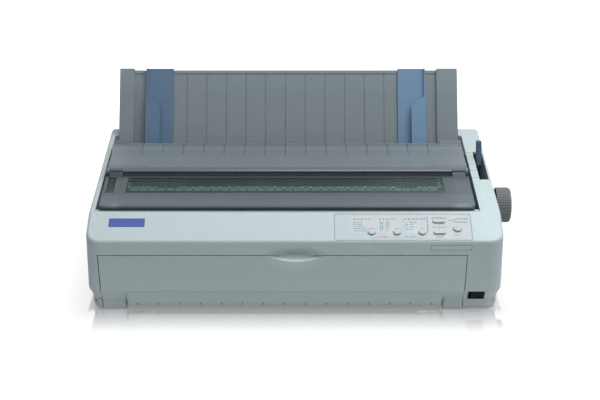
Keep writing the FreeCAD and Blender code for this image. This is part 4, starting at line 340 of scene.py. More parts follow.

# Painted light and shade on the rear cover: a band of painted shade behind the rod, bands of painted light and
# shade on the raised rear band, lighter towards both ends and most to the right, and painted shade on what
# rises above 164 mm, the raised end blocks
REAR_PAINTED_SHADING = [
    along("Y", rear_low.y, rear_high.y, [
        (182.0, 1.0), (184.5, 0.66), (186.5, 0.7), (189.0, 0.95), (192.0, 1.0), (236.0, 1.0), (240.0, 0.95),
        (256.0, 0.96), (262.0, 1.06), (270.0, 1.05), (273.0, 0.8), (280.0, 0.8), (282.5, 1.0)]),
    along("X", rear_low.x, rear_high.x, [
        (rear_low.x, 1.16), (-190, 1.08), (-90, 1.0), (60, 1.02), (160, 1.12), (rear_high.x, 1.26)]),
    along("Z", 150, 180, [(163.4, 1.0), (164.4, 0.72)]),
]
# Painted light and shade on the paper guide: upward faces darker, lighter towards the top, and a painted
# shadow left of the right pillar
GUIDE_PAINTED_SHADING = [
    facing(UP, 0.7, 0.85, 0.99),
    along("Z", 150, 260, [(215, 1.0), (250, 1.12)]),
    spot((190, 320, 200), (26, 200, 90), 0.86, 0.3),
]
# Painted light and shade on the case: top faces lighter to the right and darker to the rear, painted shade on
# the fascia above the scoop and in the gap in front of the lid, painted light on the inner wall right of the
# lid, front faces darker to the right, and faces that slope like the front strip lighter
CASE_PAINTED_SHADING = [
    where(UP, along("X", -300, 300, [(150, 1.0), (240, 1.05), (285, 1.14)])),
    where(UP, along("Y", 0, 384, [(0, 1.02), (70, 1.03), (180, 0.97), (384, 0.86)])),
    spot((2, 0, 92), (50, 40, 14), 0.5, 0.0),
    spot((-7, 58, 138), (300, 3.4, 80), 0.45, 0.3),
    where(LEFT, spot((240, 110, 150), (40, 130, 50), 1.9, 0.5)),
    where(FRONT, along("X", -300, 300, [(180, 1.0), (290, 0.94)])),
    facing(STRIP_WAY, 1.05, 0.93, 0.99),
]
# Painted shade in the two slits at the foot of the front cover
SLIT_PAINTED_SHADE = [spot((x, 4, 9), (2.4, 40, 13), 0.2, 0.5) for x in (-248.2, 218.2)]
# Painted light and shade on the front cover: darker towards its foot, a painted pool of light round and below
# the finger scoop, and painted light on the scoop's upward faces
LIP_PAINTED_SHADING = SLIT_PAINTED_SHADE + [
    along("Z", 0, 92, [(0, 0.93), (30, 0.95), (37, 1.0)]),
    spot((2, 0, 90), (52, 60, 26), 1.12, 0.4),
    where(UP, spot((2, 4, 84), (44, 40, 9), 1.5, 0.5), 0.2, 0.6),
]
# Painted light on the edge guides, lighter to the right, where the lamps stand
BLUE_PAINTED_LIGHT = [along("X", -260, 260, [(-180, 0.92), (180, 1.42)])]
# Painted shade on the buttons' faces that look to the front
BUTTON_PAINTED_SHADE = [facing(FRONT, 0.62, 0.1, 0.9)]
# Painted light and shade on the lid: lighter at its front lip and painted shade growing darker to the rear,
# painted light on the right end and at both front corners, lighter towards both sides and most to the right,
# and painted shade on faces that look to the front
LID_PAINTED_SHADING = [
    along("Y", lid_low.y, lid_high.y, [
        (lid_low.y, 1.12), (lid_low.y + 20, 1.0), (80, 1.0), (90, 0.94), (97, 0.86), (103, 0.76), (108, 0.64),
        (lid_high.y - 18, 0.6), (lid_high.y - 13, 0.34), (lid_high.y - 10, 0.36), (lid_high.y - 9, 0.7)]),
    spot((262, 125, 155), (48, 62, 40), 1.4, 0.3),
    spot((248, 62, 150), (20, 14, 22), 1.7, 0.4),
    spot((-268, 62, 150), (12, 14, 22), 1.5, 0.3),
    along("X", lid_low.x, lid_high.x, [
        (lid_low.x + 24, 1.18), (lid_low.x + 26, 1.1), (-150, 1.04), (-60, 1.0), (60, 1.02), (150, 1.12),
        (lid_high.x - 26, 1.22), (lid_high.x - 24, 1.3)]),
    facing(FRONT, 0.4, 0.75, 0.99),
]
# Painted light and shade on the window's grey: lighter at the front, darker to the rear, and lighter to the
# right
WINDOW_PAINTED_SHADING = [
    along("Y", window_low.y, window_high.y, [
        (window_low.y, 1.15), (window_low.y + 20, 1.0), (window_high.y, 0.62)]),
    along("X", window_low.x, window_high.x, [(-60, 1.0), (60, 1.1), (150, 1.35), (window_high.x, 1.55)]),
]
# Painted light and shade across the pads: a lit front edge, darker to the rear
PAD_PAINTED_SHADING = [along("Y", BAR_FRONT, BAR_REAR, [
    (BAR_FRONT + 1, 1.2), (BAR_FRONT + 6.5, 1.1), (BAR_FRONT + 8, 0.5), (BAR_REAR, 0.34)])]

# Painted ribs on the lever grip: stripes of painted shade and painted highlight that stand in for the ribs'
# relief
GRIP_RIBS, GRIP_PITCH, GRIP_DROP, GRIP_REACH = 5, 3.6, 20.0, 40.0
rib_shading_stops = [(grip_top - GRIP_DROP - 0.5, 1.0)]
for k in range(GRIP_RIBS):
    line = grip_top - GRIP_DROP + k * GRIP_PITCH
    rib_shading_stops += [(line, 0.5), (line + 1.2, 0.5), (line + 1.6, 1.25), (line + 3.2, 1.25)]
GRIP_PAINTED_RIB_SHADING = [along("Z", grip_top - GRIP_REACH, grip_top, rib_shading_stops)]

# Look: material, colour, roughness, grain, grain depth, mottling, edge radius, specular level, and its extras
PLASTICS = {
    "case": ("case_plastic", (198, 214, 217), 0.5, 0.5, 0.006, 0.015, 0.8, 0.35,
             dict(edge_factor=1.06, tones=CASE_PAINTED_SHADING)),
    "base": ("base_plastic", (190, 204, 206), 0.5, 0.5, 0.006, 0.015, 0.8, 0.35,
             dict(edge_factor=1.04, tones=SLIT_PAINTED_SHADE)),
    "cover": ("cover_plastic", (195, 211, 212), 0.5, 0.5, 0.006, 0.015, 0.8, 0.35,
              dict(edge_factor=1.04, tones=LIP_PAINTED_SHADING)),
    "panel": ("panel_film", (200, 213, 218), 0.42, 0.3, 0.003, 0.01, 0.3, 0.4, {}),
    # The lid's edge_factor paints a strong highlight line along its edges
    "smoke": ("lid_plastic", (84, 96, 102), 0.34, 0.9, 0.02, 0.03, 0.9, 0.35,
              dict(speckle=0.03, edge_factor=1.5, tones=LID_PAINTED_SHADING)),
    "ribbed": ("rear_cover_plastic", (108, 119, 126), 0.42, 0.9, 0.02, 0.02, 0.7, 0.4,
               dict(speckle=0.06, edge_factor=1.15, tones=REAR_PAINTED_SHADING)),
    "guide": ("guide_plastic", (134, 147, 153), 0.48, 0.7, 0.012, 0.02, 0.6, 0.4,
              dict(speckle=0.02, edge_factor=1.08, tones=GUIDE_PAINTED_SHADING)),
    "blue": ("blue_plastic", (102, 132, 160), 0.42, 0.5, 0.006, 0.02, 0.5, 0.4,
             dict(edge_factor=1.15, tones=BLUE_PAINTED_LIGHT)),
    "lever": ("lever_plastic", (84, 112, 136), 0.4, 0.5, 0.006, 0.03, 0.5, 0.4, dict(edge_factor=1.1)),
    "grip": ("grip_plastic", (84, 112, 138), 0.4, 0.5, 0.006, 0.03, 0.5, 0.4,
             dict(edge_factor=1.1, tones=GRIP_PAINTED_RIB_SHADING)),
    "black": ("black_plastic", (24, 26, 26), 0.4, 0.5, 0.01, 0.08, 0.4, 0.4, {}),
    "switch": ("switch_plastic", (11, 12, 12), 0.6, 0.5, 0.006, 0.08, 0.3, 0.18, {}),
    "dark": ("dark_plastic", (48, 52, 54), 0.5, 0.6, 0.012, 0.06, 0.4, 0.4, {}),
    "knob": ("knob_plastic", (117, 124, 123), 0.45, 0.5, 0.01, 0.03, 0.5, 0.4, dict(edge_factor=1.15)),
    # The buttons' edge_factor below 1 paints shade round their edges
    "button": ("button_plastic", (214, 222, 224), 0.36, 0.4, 0.004, 0.01, 0.9, 0.5,
               dict(edge_factor=0.9, tones=BUTTON_PAINTED_SHADE)),
    "nylon": ("white_nylon", (225, 224, 214), 0.4, 0.6, 0.006, 0.02, 0.3, 0.45, {}),
    "rubber": ("platen_rubber", (42, 43, 45), 0.6, 0.5, 0.02, 0.1, 0.3, 0.3, {}),
    "foot": ("foot_rubber", (38, 38, 39), 0.8, 0.8, 0.03, 0.1, 0.4, 0.2, {}),
    "board": ("board_lacquer", (28, 92, 58), 0.3, 2.0, 0.02, 0.25, 0.2, 0.5, {}),
    "badge": ("badge_blue", (70, 98, 176), 0.34, 0.4, 0.003, 0.02, 0.3, 0.4, {}),
    "belt": ("belt_rubber", (34, 34, 36), 0.7, 0.4, 0.02, 0.1, 0.2, 0.3, {}),
    "rod": ("rod_plastic", (74, 85, 92), 0.2, 0.8, 0.004, 0.03, 0.3, 0.7, dict(coat=0.5)),
    "gutter": ("gutter_plastic", (74, 86, 92), 0.5, 0.8, 0.01, 0.04, 0.3, 0.3, {}),
    "stem": ("stem_finish", (52, 58, 62), 0.45, 0.8, 0.01, 0.06, 0.3, 0.4, {}),
    "mask": ("mask_plastic", (194, 202, 196), 0.4, 0.6, 0.01, 0.05, 0.3, 0.4, {}),
    "pads": ("pad_plastic", (194, 202, 196), 0.6, 0.6, 0.01, 0.05, 0.3, 0.2, dict(tones=PAD_PAINTED_SHADING)),
    "label": ("label_film", (201, 214, 218), 0.4, 0.3, 0.003, 0.01, 0.2, 0.4, {}),
    "lamp": ("lamp_lens", (84, 98, 98), 0.25, 0.8, 0.004, 0.05, 0.2, 0.5, {}),
}
# Look: material, colour, roughness, and how much its lines are stretched along each axis
METALS = {
    "steel": ("zinc_steel", (0.55, 0.57, 0.58), 0.42, (1, 12, 12)),
    "bright": ("bright_steel", (0.72, 0.73, 0.74), 0.2, (1, 60, 60)),
    "brass": ("bush_brass", (0.68, 0.52, 0.28), 0.35, (6, 6, 6)),
    "motor": ("motor_steel", (0.42, 0.43, 0.45), 0.35, (20, 20, 20)),
    "alloy": ("head_alloy", (0.30, 0.31, 0.33), 0.45, (8, 8, 8)),
}
materials = {look: metal(*values) for look, values in METALS.items()}
for look, (name, colour, *values, extras) in PLASTICS.items():
    materials[look] = plastic(name, srgb(*colour), *values, **extras)
materials["window"] = smoked("window_clear", srgb(112, 128, 131), 0.74, 0.16, (0.84, 0.90, 0.90), WINDOW_PAINTED_SHADING)


def tint_alarms(material, rgb, alarm_x):
    """Tint the lamps beyond a place along x another way."""
    tree = material.node_tree
    colour = tree.nodes["Principled BSDF"].inputs["Base Color"]
    place = split_axes(tree, object_place(tree))["X"]
    mix = tree.nodes.new("ShaderNodeMix")
    mix.data_type = "RGBA"
    side = value_map(tree, place, alarm_x * MM + SHIFT.x, (alarm_x + 1) * MM + SHIFT.x, 0, 1)
    feed(tree, mix.inputs["Factor"], side)
    feed(tree, mix.inputs["A"], colour.links[0].from_socket)
    feed(tree, mix.inputs["B"], (*rgb, 1))
    feed(tree, colour, mix.outputs["Result"])


ALARM_REACH = 6.0
tint_alarms(materials["lamp"], srgb(214, 96, 60), box_of("indicator_lights")[1].x - ALARM_REACH)

LOOKS = {
    "case": ["upper_case"], "base": ["lower_case"], "cover": ["front_cover"], "smoke": ["printer_lid"],
    "ribbed": ["rear_cover"], "window": ["lid_window"], "guide": ["paper_guide"],
    "blue": ["left_edge_guide", "right_edge_guide"], "lever": ["thickness_lever"],
    "grip": ["release_lever_grip"], "stem": ["release_lever"], "rod": ["lid_hinge_rod"],
    "panel": ["control_panel_plate"], "badge": ["badge_plate"], "lamp": ["indicator_lights"],
    "button": ["select_button_1", "select_button_2", "select_button_3", "feed_button", "eject_button",
               "pause_button"],
    "switch": ["switch_frame", "power_rocker"],
    "knob": ["platen_knob"], "rubber": ["platen_roller"], "foot": ["rubber_feet"], "belt": ["carriage_belt"],
    "black": ["power_inlet", "interface_connectors", "ribbon_cartridge", "carriage"],
    "dark": ["paper_path", "left_tractor", "right_tractor", "left_tractor_flap", "right_tractor_flap"],
    "nylon": ["knob_shaft", "platen_gear", "idler_gear", "feed_pinion", "tractor_drive_shaft", "drive_pulley",
              "idler_pulley", "ribbon_knob"],
    "board": ["panel_board", "main_board", "power_supply"],
    "steel": ["base_frame", "left_side_frame", "right_side_frame", "carriage_rail", "case_screws"],
    "bright": ["platen_shaft", "carriage_shaft", "tractor_guide_shaft"], "brass": ["shaft_bushings"],
    "motor": ["feed_motor", "carriage_motor"], "alloy": ["print_head"],
}
for look, names in LOOKS.items():
    for name in names:
        slots = nodes[name].data.materials
        slots.clear()
        slots.append(materials[look])

# Meshes


def add_mesh(name, verts, faces, material, body, slot):
    """Piece that rides a body and takes the given material; the slot is not used."""
    mesh = bpy.data.meshes.new(name)
    mesh.from_pydata([tuple(v) for v in verts], [], faces)
    mesh.materials.append(material)
    obj = bpy.data.objects.new(name, mesh)
    bpy.context.scene.collection.objects.link(obj)
    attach(obj, body)


def ringed(rings, closed):
    """Skin over a run of rings with the same count, closed into a loop or capped at both ends."""
    verts = [v for ring in rings for v in ring]
    n = len(rings[0])
    last = (len(rings) - 1) * n
    starts = [k * n for k in range(len(rings))]
    pairs = list(zip(starts, starts[1:])) + ([(last, 0)] if closed else [])
    faces = []
    for a, b in pairs:
        for i in range(n):
            j = (i + 1) % n
            faces.append([a + i, a + j, b + j, b + i])
    if not closed:
        faces.append(list(range(n))[::-1])
        faces.append([last + i for i in range(n)])
    return verts, faces


def slab(verts, faces, corners, low, high):
    """Add a thin prism on the strip with a given outline."""
    start = len(verts)
    count = len(corners)
    verts += [on_strip(x, s, height) for height in (low, high) for x, s in corners]
    faces.append([start + i for i in range(count)][::-1])
    faces.append([start + count + i for i in range(count)])
    for i in range(count):
        j = (i + 1) % count
        faces.append([start + i, start + j, start + count + j, start + count + i])


def plates_piece(name, plates, look, body, slot):
    """Piece made of chamfered plates; each plate is its low and high corners in the working frame."""
    verts, faces = [], []
    for (x0, y0, z0), (x1, y1, z1) in plates:
        cut = min(0.4, (x1 - x0) / 4, (y1 - y0) / 4, (z1 - z0) / 3)
        start = len(verts)
        for z, inset in ((z0, 0), (z1 - cut, 0), (z1, cut)):
            for x, y in ((x0 + inset, y0 + inset), (x1 - inset, y0 + inset), (x1 - inset, y1 - inset),
                         (x0 + inset, y1 - inset)):
                verts.append(at(x, y, z))
        faces.append([start + i for i in (3, 2, 1, 0)])
        faces.append([start + i for i in (8, 9, 10, 11)])
        for level in (start, start + 4):
            for i in range(4):
                j = (i + 1) % 4
                faces.append([level + i, level + j, level + 4 + j, level + 4 + i])
    add_mesh(name, verts, faces, materials[look], body, slot)


# Panel print: generic bars, dashes and arrows where the photograph shows marks. Their places are pixels of
# an enlarged crop, whose corner lies at CROP_U, CROP_V in the photograph.

CROP_U, CROP_V, CROP_SCALE = 329.8, 204.8, 10.456
PRINT_BASE, PRINT_FILM, PRINT_INK, RING_INK = -0.02, 0.02, 0.04, 0.05


def ink(name, rgb, rough=0.5):
    return plastic(name, srgb(*rgb), rough, 0.3, 0.002, 0.04, 0, 0.4)


def crop(cx, cy):
    return strip_place(CROP_U + cx / CROP_SCALE, CROP_V + cy / CROP_SCALE)


def crop_bar(cx0, cy0, cx1, cy1):
    """Outline of a bar with cut corners."""
    x0, s0 = crop(cx0, cy1)
    x1, s1 = crop(cx1, cy0)
    c = min(0.25, abs(x1 - x0) / 3, abs(s1 - s0) / 3)
    return [(x0 + c, s0), (x1 - c, s0), (x1, s0 + c), (x1, s1 - c), (x1 - c, s1), (x0 + c, s1), (x0, s1 - c),
            (x0, s0 + c)]


def strokes(cx0, cx1, cy, high, seed):
    """A word-like run of small upright strokes that spells nothing."""
    rng = random.Random(seed)
    out = []
    x = cx0
    while x < cx1:
        width = rng.choice((4, 5, 7))
        tall = high * rng.choice((0.7, 0.7, 1.0))
        out.append(crop_bar(x, cy + high / 2 - tall, min(x + width, cx1), cy + high / 2))
        x += width + rng.choice((3, 3, 4, 9))
    return out


def rounded(x, s, half_x, half_s, steps=8):
    """Outline of a round or pill shape on the strip."""
    radius = min(half_x, half_s)
    points = []
    for turn, (cx, cs) in enumerate(((1, 1), (-1, 1), (-1, -1), (1, -1))):
        for k in range(steps + 1):
            angle = math.pi / 2 * (turn + k / steps)
            points.append((x + cx * (half_x - radius) + radius * math.cos(angle),
                           s + cs * (half_s - radius) + radius * math.sin(angle)))
    return points


LAMP_HALF, LAMP_ROW = 1.2, 45.6
LAMP_PLACES = (0.15, 0.176, 0.202, 0.335, 0.361, 0.388, 0.521, 0.5475)
ALARM_PLACE, ALARM_ROWS = 0.8816, (45.2, 40.9)
LEAST_FIELD = 0.05
panel_low, panel_high = box_of("control_panel_plate")


def panel_x(share):
    return panel_low.x + share * (panel_high.x - panel_low.x)


LAMPS = [(panel_x(share), LAMP_ROW) for share in LAMP_PLACES]
LAMPS += [(panel_x(ALARM_PLACE), row) for row in ALARM_ROWS]


def without_lamps(cx0, cy0, cx1, cy1):
    """Outlines that fill a field of the panel round the lamps in it."""
    pieces = [crop(cx0, cy1) + crop(cx1, cy0)]
    for x, s in LAMPS:
        left, low, right, high = x - LAMP_HALF, s - LAMP_HALF, x + LAMP_HALF, s + LAMP_HALF
        kept = []
        for x0, s0, x1, s1 in pieces:
            if right <= x0 or left >= x1 or high <= s0 or low >= s1:
                kept.append((x0, s0, x1, s1))
                continue
            middle = max(x0, left), min(x1, right)
            for piece in ((x0, s0, left, s1), (right, s0, x1, s1), (middle[0], s0, middle[1], low),
                          (middle[0], high, middle[1], s1)):
                if piece[2] - piece[0] > LEAST_FIELD and piece[3] - piece[1] > LEAST_FIELD:
                    kept.append(piece)
        pieces = kept
    return [[(x0, s0), (x1, s0), (x1, s1), (x0, s1)] for x0, s0, x1, s1 in pieces]


FIELDS = ((225, 116, 486, 300), (495, 116, 757, 300), (767, 116, 1018, 300), (1029, 112, 1452, 352))
# Word-like marks: start, end, middle height and how tall
words = [(362, 428, 148, 15), (628, 698, 147, 15), (856, 998, 147, 15), (1064, 1214, 137, 16),
         (414, 478, 248, 12), (678, 740, 247, 12), (950, 985, 244, 12), (1112, 1190, 334, 14),
         (840, 904, 332, 13), (1240, 1288, 162, 11), (1318, 1446, 146, 15), (1318, 1430, 181, 15)]
# Columns of dashes with a mark after each row: each row's height, colours and the mark's end, then where the
# dashes and the marks start, the dashes' pitch and their length
COLUMNS = (
    ([(183, "ddc", 342), (203, "dcd", 340), (226, "dcc", 366), (250, "cdd", 382), (274, "cdc", 386)],
     243, 295, 17, 12),
    ([(180, "dc", 626), (194, "dd", 624), (209, "cc", 628), (223, "dc", 622), (238, "cd", 628),
      (252, "dd", 624), (273, "cc", 612)], 523, 582, 21, 14),
    ([(183, "cc", 908), (204, "dd", 880), (230, "dc", 886), (255, "cd", 880)], 785, 832, 17, 12),
)
DASH_HALF, MARK_TALL = 4, 11
ARROW_X, ARROW_TIP, ARROW_FOOT, ARROW_HALF = 1146, 8, 4, 6 / CROP_SCALE * 1.4

pale = [outline for field in FIELDS for outline in without_lamps(*field)]
dashes = {"c": [], "d": []}
for rows, dash_x, text_x, pitch, length in COLUMNS:
    for cy, code, end in rows:
        for k, kind in enumerate(code):
            start = dash_x + k * pitch
            dashes[kind].append(crop_bar(start, cy - DASH_HALF, start + length, cy + DASH_HALF))
        words.append((text_x, end, cy, MARK_TALL))
dashes["c"].append(crop_bar(790, 327, 818, 338))
grey = [outline for k, word in enumerate(words) for outline in strokes(*word, k)]
grey.append(crop_bar(704, 344, 965, 346))
blue = strokes(1075, 1215, 235, 12, 90) + strokes(1310, 1366, 317, 10, 91)
for cy, way in ((210, -1), (258, 1)):
    tip, foot = crop(ARROW_X, cy + way * ARROW_TIP), crop(ARROW_X, cy - way * ARROW_FOOT)
    triangle = [(foot[0] - ARROW_HALF, foot[1]), (foot[0] + ARROW_HALF, foot[1]), tip]
    blue.append(triangle if way < 0 else triangle[::-1])
red = strokes(533, 606, 331, 15, 92) + [crop_bar(440, 342, 700, 345)]

# Dark rings round the buttons; each button's middle is a distance up the strip
BUTTON_ROWS = {"select_button_1": 18.5, "select_button_2": 18.5, "select_button_3": 18.5, "feed_button": 40.4,
               "eject_button": 17.4, "pause_button": 26.0}
PILLS = ("feed_button", "eject_button")
PILL_HALF, FLANGE, RING_INSIDE, RING_OUTSIDE = 3.2, 1.2, 0.35, 0.95
verts, faces = [], []
for name, middle in BUTTON_ROWS.items():
    low, high = box_of(name)
    x, half_x = (low.x + high.x) / 2, (high.x - low.x) / 2 - FLANGE
    half_s = PILL_HALF if name in PILLS else half_x
    rings = []
    for grow, height in ((RING_INSIDE, PRINT_BASE), (RING_INSIDE, RING_INK), (RING_OUTSIDE, RING_INK),
                         (RING_OUTSIDE, PRINT_BASE)):
        outline = rounded(x, middle, half_x + grow, half_s + grow)
        rings.append([on_strip(px, ps, height) for px, ps in outline])
    ring_verts, ring_faces = ringed(rings, True)
    faces += [[i + len(verts) for i in face] for face in ring_faces]
    verts += ring_verts
add_mesh("panel_button_rings", verts, faces, ink("ring_ink", (150, 160, 164)), "housing", "panel_plastic")

for name, outlines, material, high in (
        ("panel_pale_fields", pale, ink("pale_film", (207, 217, 220), 0.4), PRINT_FILM),
        ("panel_grey_marks", grey, ink("grey_ink", (132, 140, 146)), PRINT_INK),
        ("panel_cyan_dashes", dashes["c"], ink("cyan_ink", (120, 204, 210)), PRINT_INK),
        ("panel_dark_dashes", dashes["d"], ink("dark_ink", (88, 98, 104)), PRINT_INK),
        ("panel_blue_marks", blue, ink("blue_ink", (108, 140, 190)), PRINT_INK),
        ("panel_red_marks", red, ink("red_ink", (214, 120, 130)), PRINT_INK)):
    verts, faces = [], []
    for outline in outlines:
        slab(verts, faces, outline, PRINT_BASE, high)
    add_mesh(name, verts, faces, material, "housing", "panel_plastic")

# Dark fill in the width marks along the foot of the front cover: painted shade in their grooves

TICK_FIRST, TICK_PITCH, TICK_COUNT, TICK_WIDTH, TICK_DEPTH, TICK_SIDE = -233.8, 31.1, 15, 1.8, 0.45, 0.1
TICK_FACE = [(5.45, 13.0), (7.7, 8.8), (8.5, 8.0)]
TICK_QUADS = ((0, 1, 7, 6), (1, 2, 8, 7), (3, 9, 10, 4), (4, 10, 11, 5), (0, 3, 4, 1), (1, 4, 5, 2),
              (6, 7, 10, 9), (7, 8, 11, 10), (0, 6, 9, 3), (2, 5, 11, 8))
verts, faces = [], []
for k in range(TICK_COUNT):
    left = TICK_FIRST + k * TICK_PITCH + TICK_SIDE
    start = len(verts)
    for x in (left, left + TICK_WIDTH - 2 * TICK_SIDE):
        for depth in (0.0, TICK_DEPTH):
            verts += [at(x, y + depth, z) for y, z in TICK_FACE]
    faces += [[start + i for i in quad] for quad in TICK_QUADS]
add_mesh("lip_tick_shade", verts, faces, ink("tick_groove_shade", (124, 132, 132)), "front_cover", "black_plastic")

# Bare plate in the fascia's recess, with a dark line of painted shade in the gap round it

LABEL_LEFT, LABEL_RIGHT, LABEL_LOW, LABEL_HIGH, LABEL_DEPTH = 198.0, 257.5, 100.0, 107.7, 0.5
LABEL_CUT = 0.5


def label_ring(inset, depth):
    """Outline round the recess with cut corners, at a depth behind the fascia."""
    x0, x1, z0, z1 = LABEL_LEFT + inset, LABEL_RIGHT - inset, LABEL_LOW + inset, LABEL_HIGH - inset
    corners = ((x0 + LABEL_CUT, z0), (x1 - LABEL_CUT, z0), (x1, z0 + LABEL_CUT), (x1, z1 - LABEL_CUT),
               (x1 - LABEL_CUT, z1), (x0 + LABEL_CUT, z1), (x0, z1 - LABEL_CUT), (x0, z0 + LABEL_CUT))
    return [at(x, depth, z) for x, z in corners]


PLATE_RINGS = ((0.55, LABEL_DEPTH), (0.55, 0.2), (0.75, 0.08))
EDGE_RINGS = ((0.05, LABEL_DEPTH), (0.05, 0.25), (0.5, 0.25), (0.5, LABEL_DEPTH))
add_mesh("label_plate", *ringed([label_ring(*ring) for ring in PLATE_RINGS], False),
         materials["label"], "housing", "panel_plastic")
add_mesh("label_edge", *ringed([label_ring(*ring) for ring in EDGE_RINGS], True),
         ink("label_gap_shade", (112, 122, 122)), "housing", "panel_plastic")

# Paper guide bars behind the window: a front bar with pads, a rear rail, and legs to the side frames

FRAME_LEFT, FRAME_RIGHT = -268.0, 234.0
TOWER_TOP = box_of("left_side_frame")[1].z
SHEET = 1.2
LEG = 3.0
GUIDE_Z = box_of("ribbon_cartridge")[1].z + SHEET / 2
RAIL_FRONT, RAIL_REAR = platen_y + 19.0, platen_y + 25.0
FINGER_FRONT = platen_y + 7.0
PAD_PITCH, PAD_WIDTH, PAD_INSET = 14.0, 12.2, 0.4

plates = [((FRAME_LEFT, BAR_FRONT, GUIDE_Z), (FRAME_RIGHT, BAR_REAR, GUIDE_Z + SHEET)),
          ((FRAME_LEFT, RAIL_FRONT, GUIDE_Z - SHEET), (FRAME_RIGHT, RAIL_REAR, GUIDE_Z))]
for x in (FRAME_LEFT, FRAME_RIGHT - LEG):
    plates.append(((x, BAR_FRONT, TOWER_TOP), (x + LEG, BAR_REAR, GUIDE_Z + SHEET / 2)))
    plates.append(((x, RAIL_FRONT, TOWER_TOP), (x + LEG, RAIL_REAR, GUIDE_Z - SHEET / 2)))
    plates.append(((x, BAR_REAR - SHEET, GUIDE_Z - SHEET), (x + LEG, RAIL_FRONT + SHEET, GUIDE_Z)))
pads = []
x = FRAME_LEFT + PAD_PITCH
while x + PAD_WIDTH < FRAME_RIGHT - LEG:
    pads.append(((x, BAR_FRONT + PAD_INSET, GUIDE_Z + SHEET / 2),
                 (x + PAD_WIDTH, BAR_REAR - PAD_INSET, GUIDE_Z + SHEET * 2)))
    plates.append(((x, FINGER_FRONT, GUIDE_Z - SHEET),
                   (x + SHEET / 2, RAIL_FRONT + SHEET, GUIDE_Z - SHEET / 4)))
    x += PAD_PITCH
plates_piece("card_guide", plates, "dark", "housing", "chute_plastic")
plates_piece("card_guide_pads", pads, "pads", "housing", "chute_plastic")

# Mask in front of the print head: a bar on two posts

MASK_TOP, MASK_FOOT, MASK_LINE, MASK_GAP = 139.0, 13.0, 1.2, 4.0
head_low, head_high = box_of("print_head")
head_x = (head_low.x + head_high.x) / 2
mask_y = BAR_FRONT - MASK_GAP
plates = [((head_x - MASK_FOOT, mask_y, MASK_TOP - MASK_LINE), (head_x + MASK_FOOT, mask_y + SHEET, MASK_TOP))]
for side in (-1, 1):
    post = head_x + side * (MASK_FOOT - MASK_LINE)
    plates.append(((post - MASK_LINE, mask_y, head_high.z - SHEET),
                   (post + MASK_LINE, mask_y + SHEET, MASK_TOP - MASK_LINE / 2)))
plates_piece("ribbon_mask", plates, "mask", "carriage", "head_aluminium")

# Shield behind the rear vents: a plate with ribs, on two shelves from the wall

VENT_COUNT, VENT_FIRST, VENT_PITCH, VENT_WIDTH, VENT_LOW, VENT_HIGH = 14, 20.0, 7.0, 3.0, 52.0, 86.0
WALL, SHIELD_GAP, SHIELD_SIDE, RIB_SHIFT = 2.6, 7.0, 8.0, 4.0
wall_inside = box_of("lower_case")[1].y - WALL
shield_y = wall_inside - SHIELD_GAP
left, right = VENT_FIRST - SHIELD_SIDE, VENT_FIRST + VENT_PITCH * VENT_COUNT + RIB_SHIFT
plates = [((left, shield_y, VENT_LOW - SHIELD_SIDE), (right, shield_y + SHEET, VENT_HIGH + SHIELD_SIDE))]
for low in (VENT_LOW - 7.0, VENT_HIGH + 6.0):
    plates.append(((left, shield_y + SHEET / 2, low), (right, wall_inside, low + SHEET)))
for k in range(0, VENT_COUNT, 3):
    x = VENT_FIRST + k * VENT_PITCH - RIB_SHIFT
    plates.append(((x, shield_y - SHEET, VENT_LOW - RIB_SHIFT),
                   (x + VENT_WIDTH, shield_y + SHEET / 2, VENT_HIGH + RIB_SHIFT)))
plates_piece("vent_shield", plates, "stem", "housing", "steel_plate")

# Strip under the lid rod that closes the gap between the rear cover and the lid

GUTTER_SIDE, GUTTER_SKIN = 24.0, 0.9
GUTTER_PROFILE = [(-3.6, -5.2), (3.0, -6.2), (9.0, -5.6), (12.0, -3.6), (13.2, -1.9)]
rod_low, rod_high = box_of("lid_hinge_rod")
rod_y, rod_z = (rod_low.y + rod_high.y) / 2, (rod_low.z + rod_high.z) / 2
section = GUTTER_PROFILE + [(y, z - GUTTER_SKIN) for y, z in reversed(GUTTER_PROFILE)]
rings = [[at(x, rod_y + y, rod_z + z) for y, z in section]
         for x in (rear_low.x + GUTTER_SIDE, rear_high.x - GUTTER_SIDE)]
add_mesh("rod_gutter", *ringed(rings, False), materials["gutter"], "rear_cover", "cover_plastic")

# Floor, world and lamps, in metres

FLOOR_SIZE = 6.0
FLOOR_GREY, FLOOR_ROUGH, MIRROR_ROUGH = 0.5, 0.6, 0.05
POLISH, POLISH_REACH = 0.7, 0.1
UNDER_POLISH, UNDER_REACH, UNDER_EDGE = 0.25, 0.012, 0.002
GLOW_NEAR, GLOW_REACH = 0.24, 0.118
AMBIENT = 0.28
LIT_PLACE = (0, 0, 0.1)


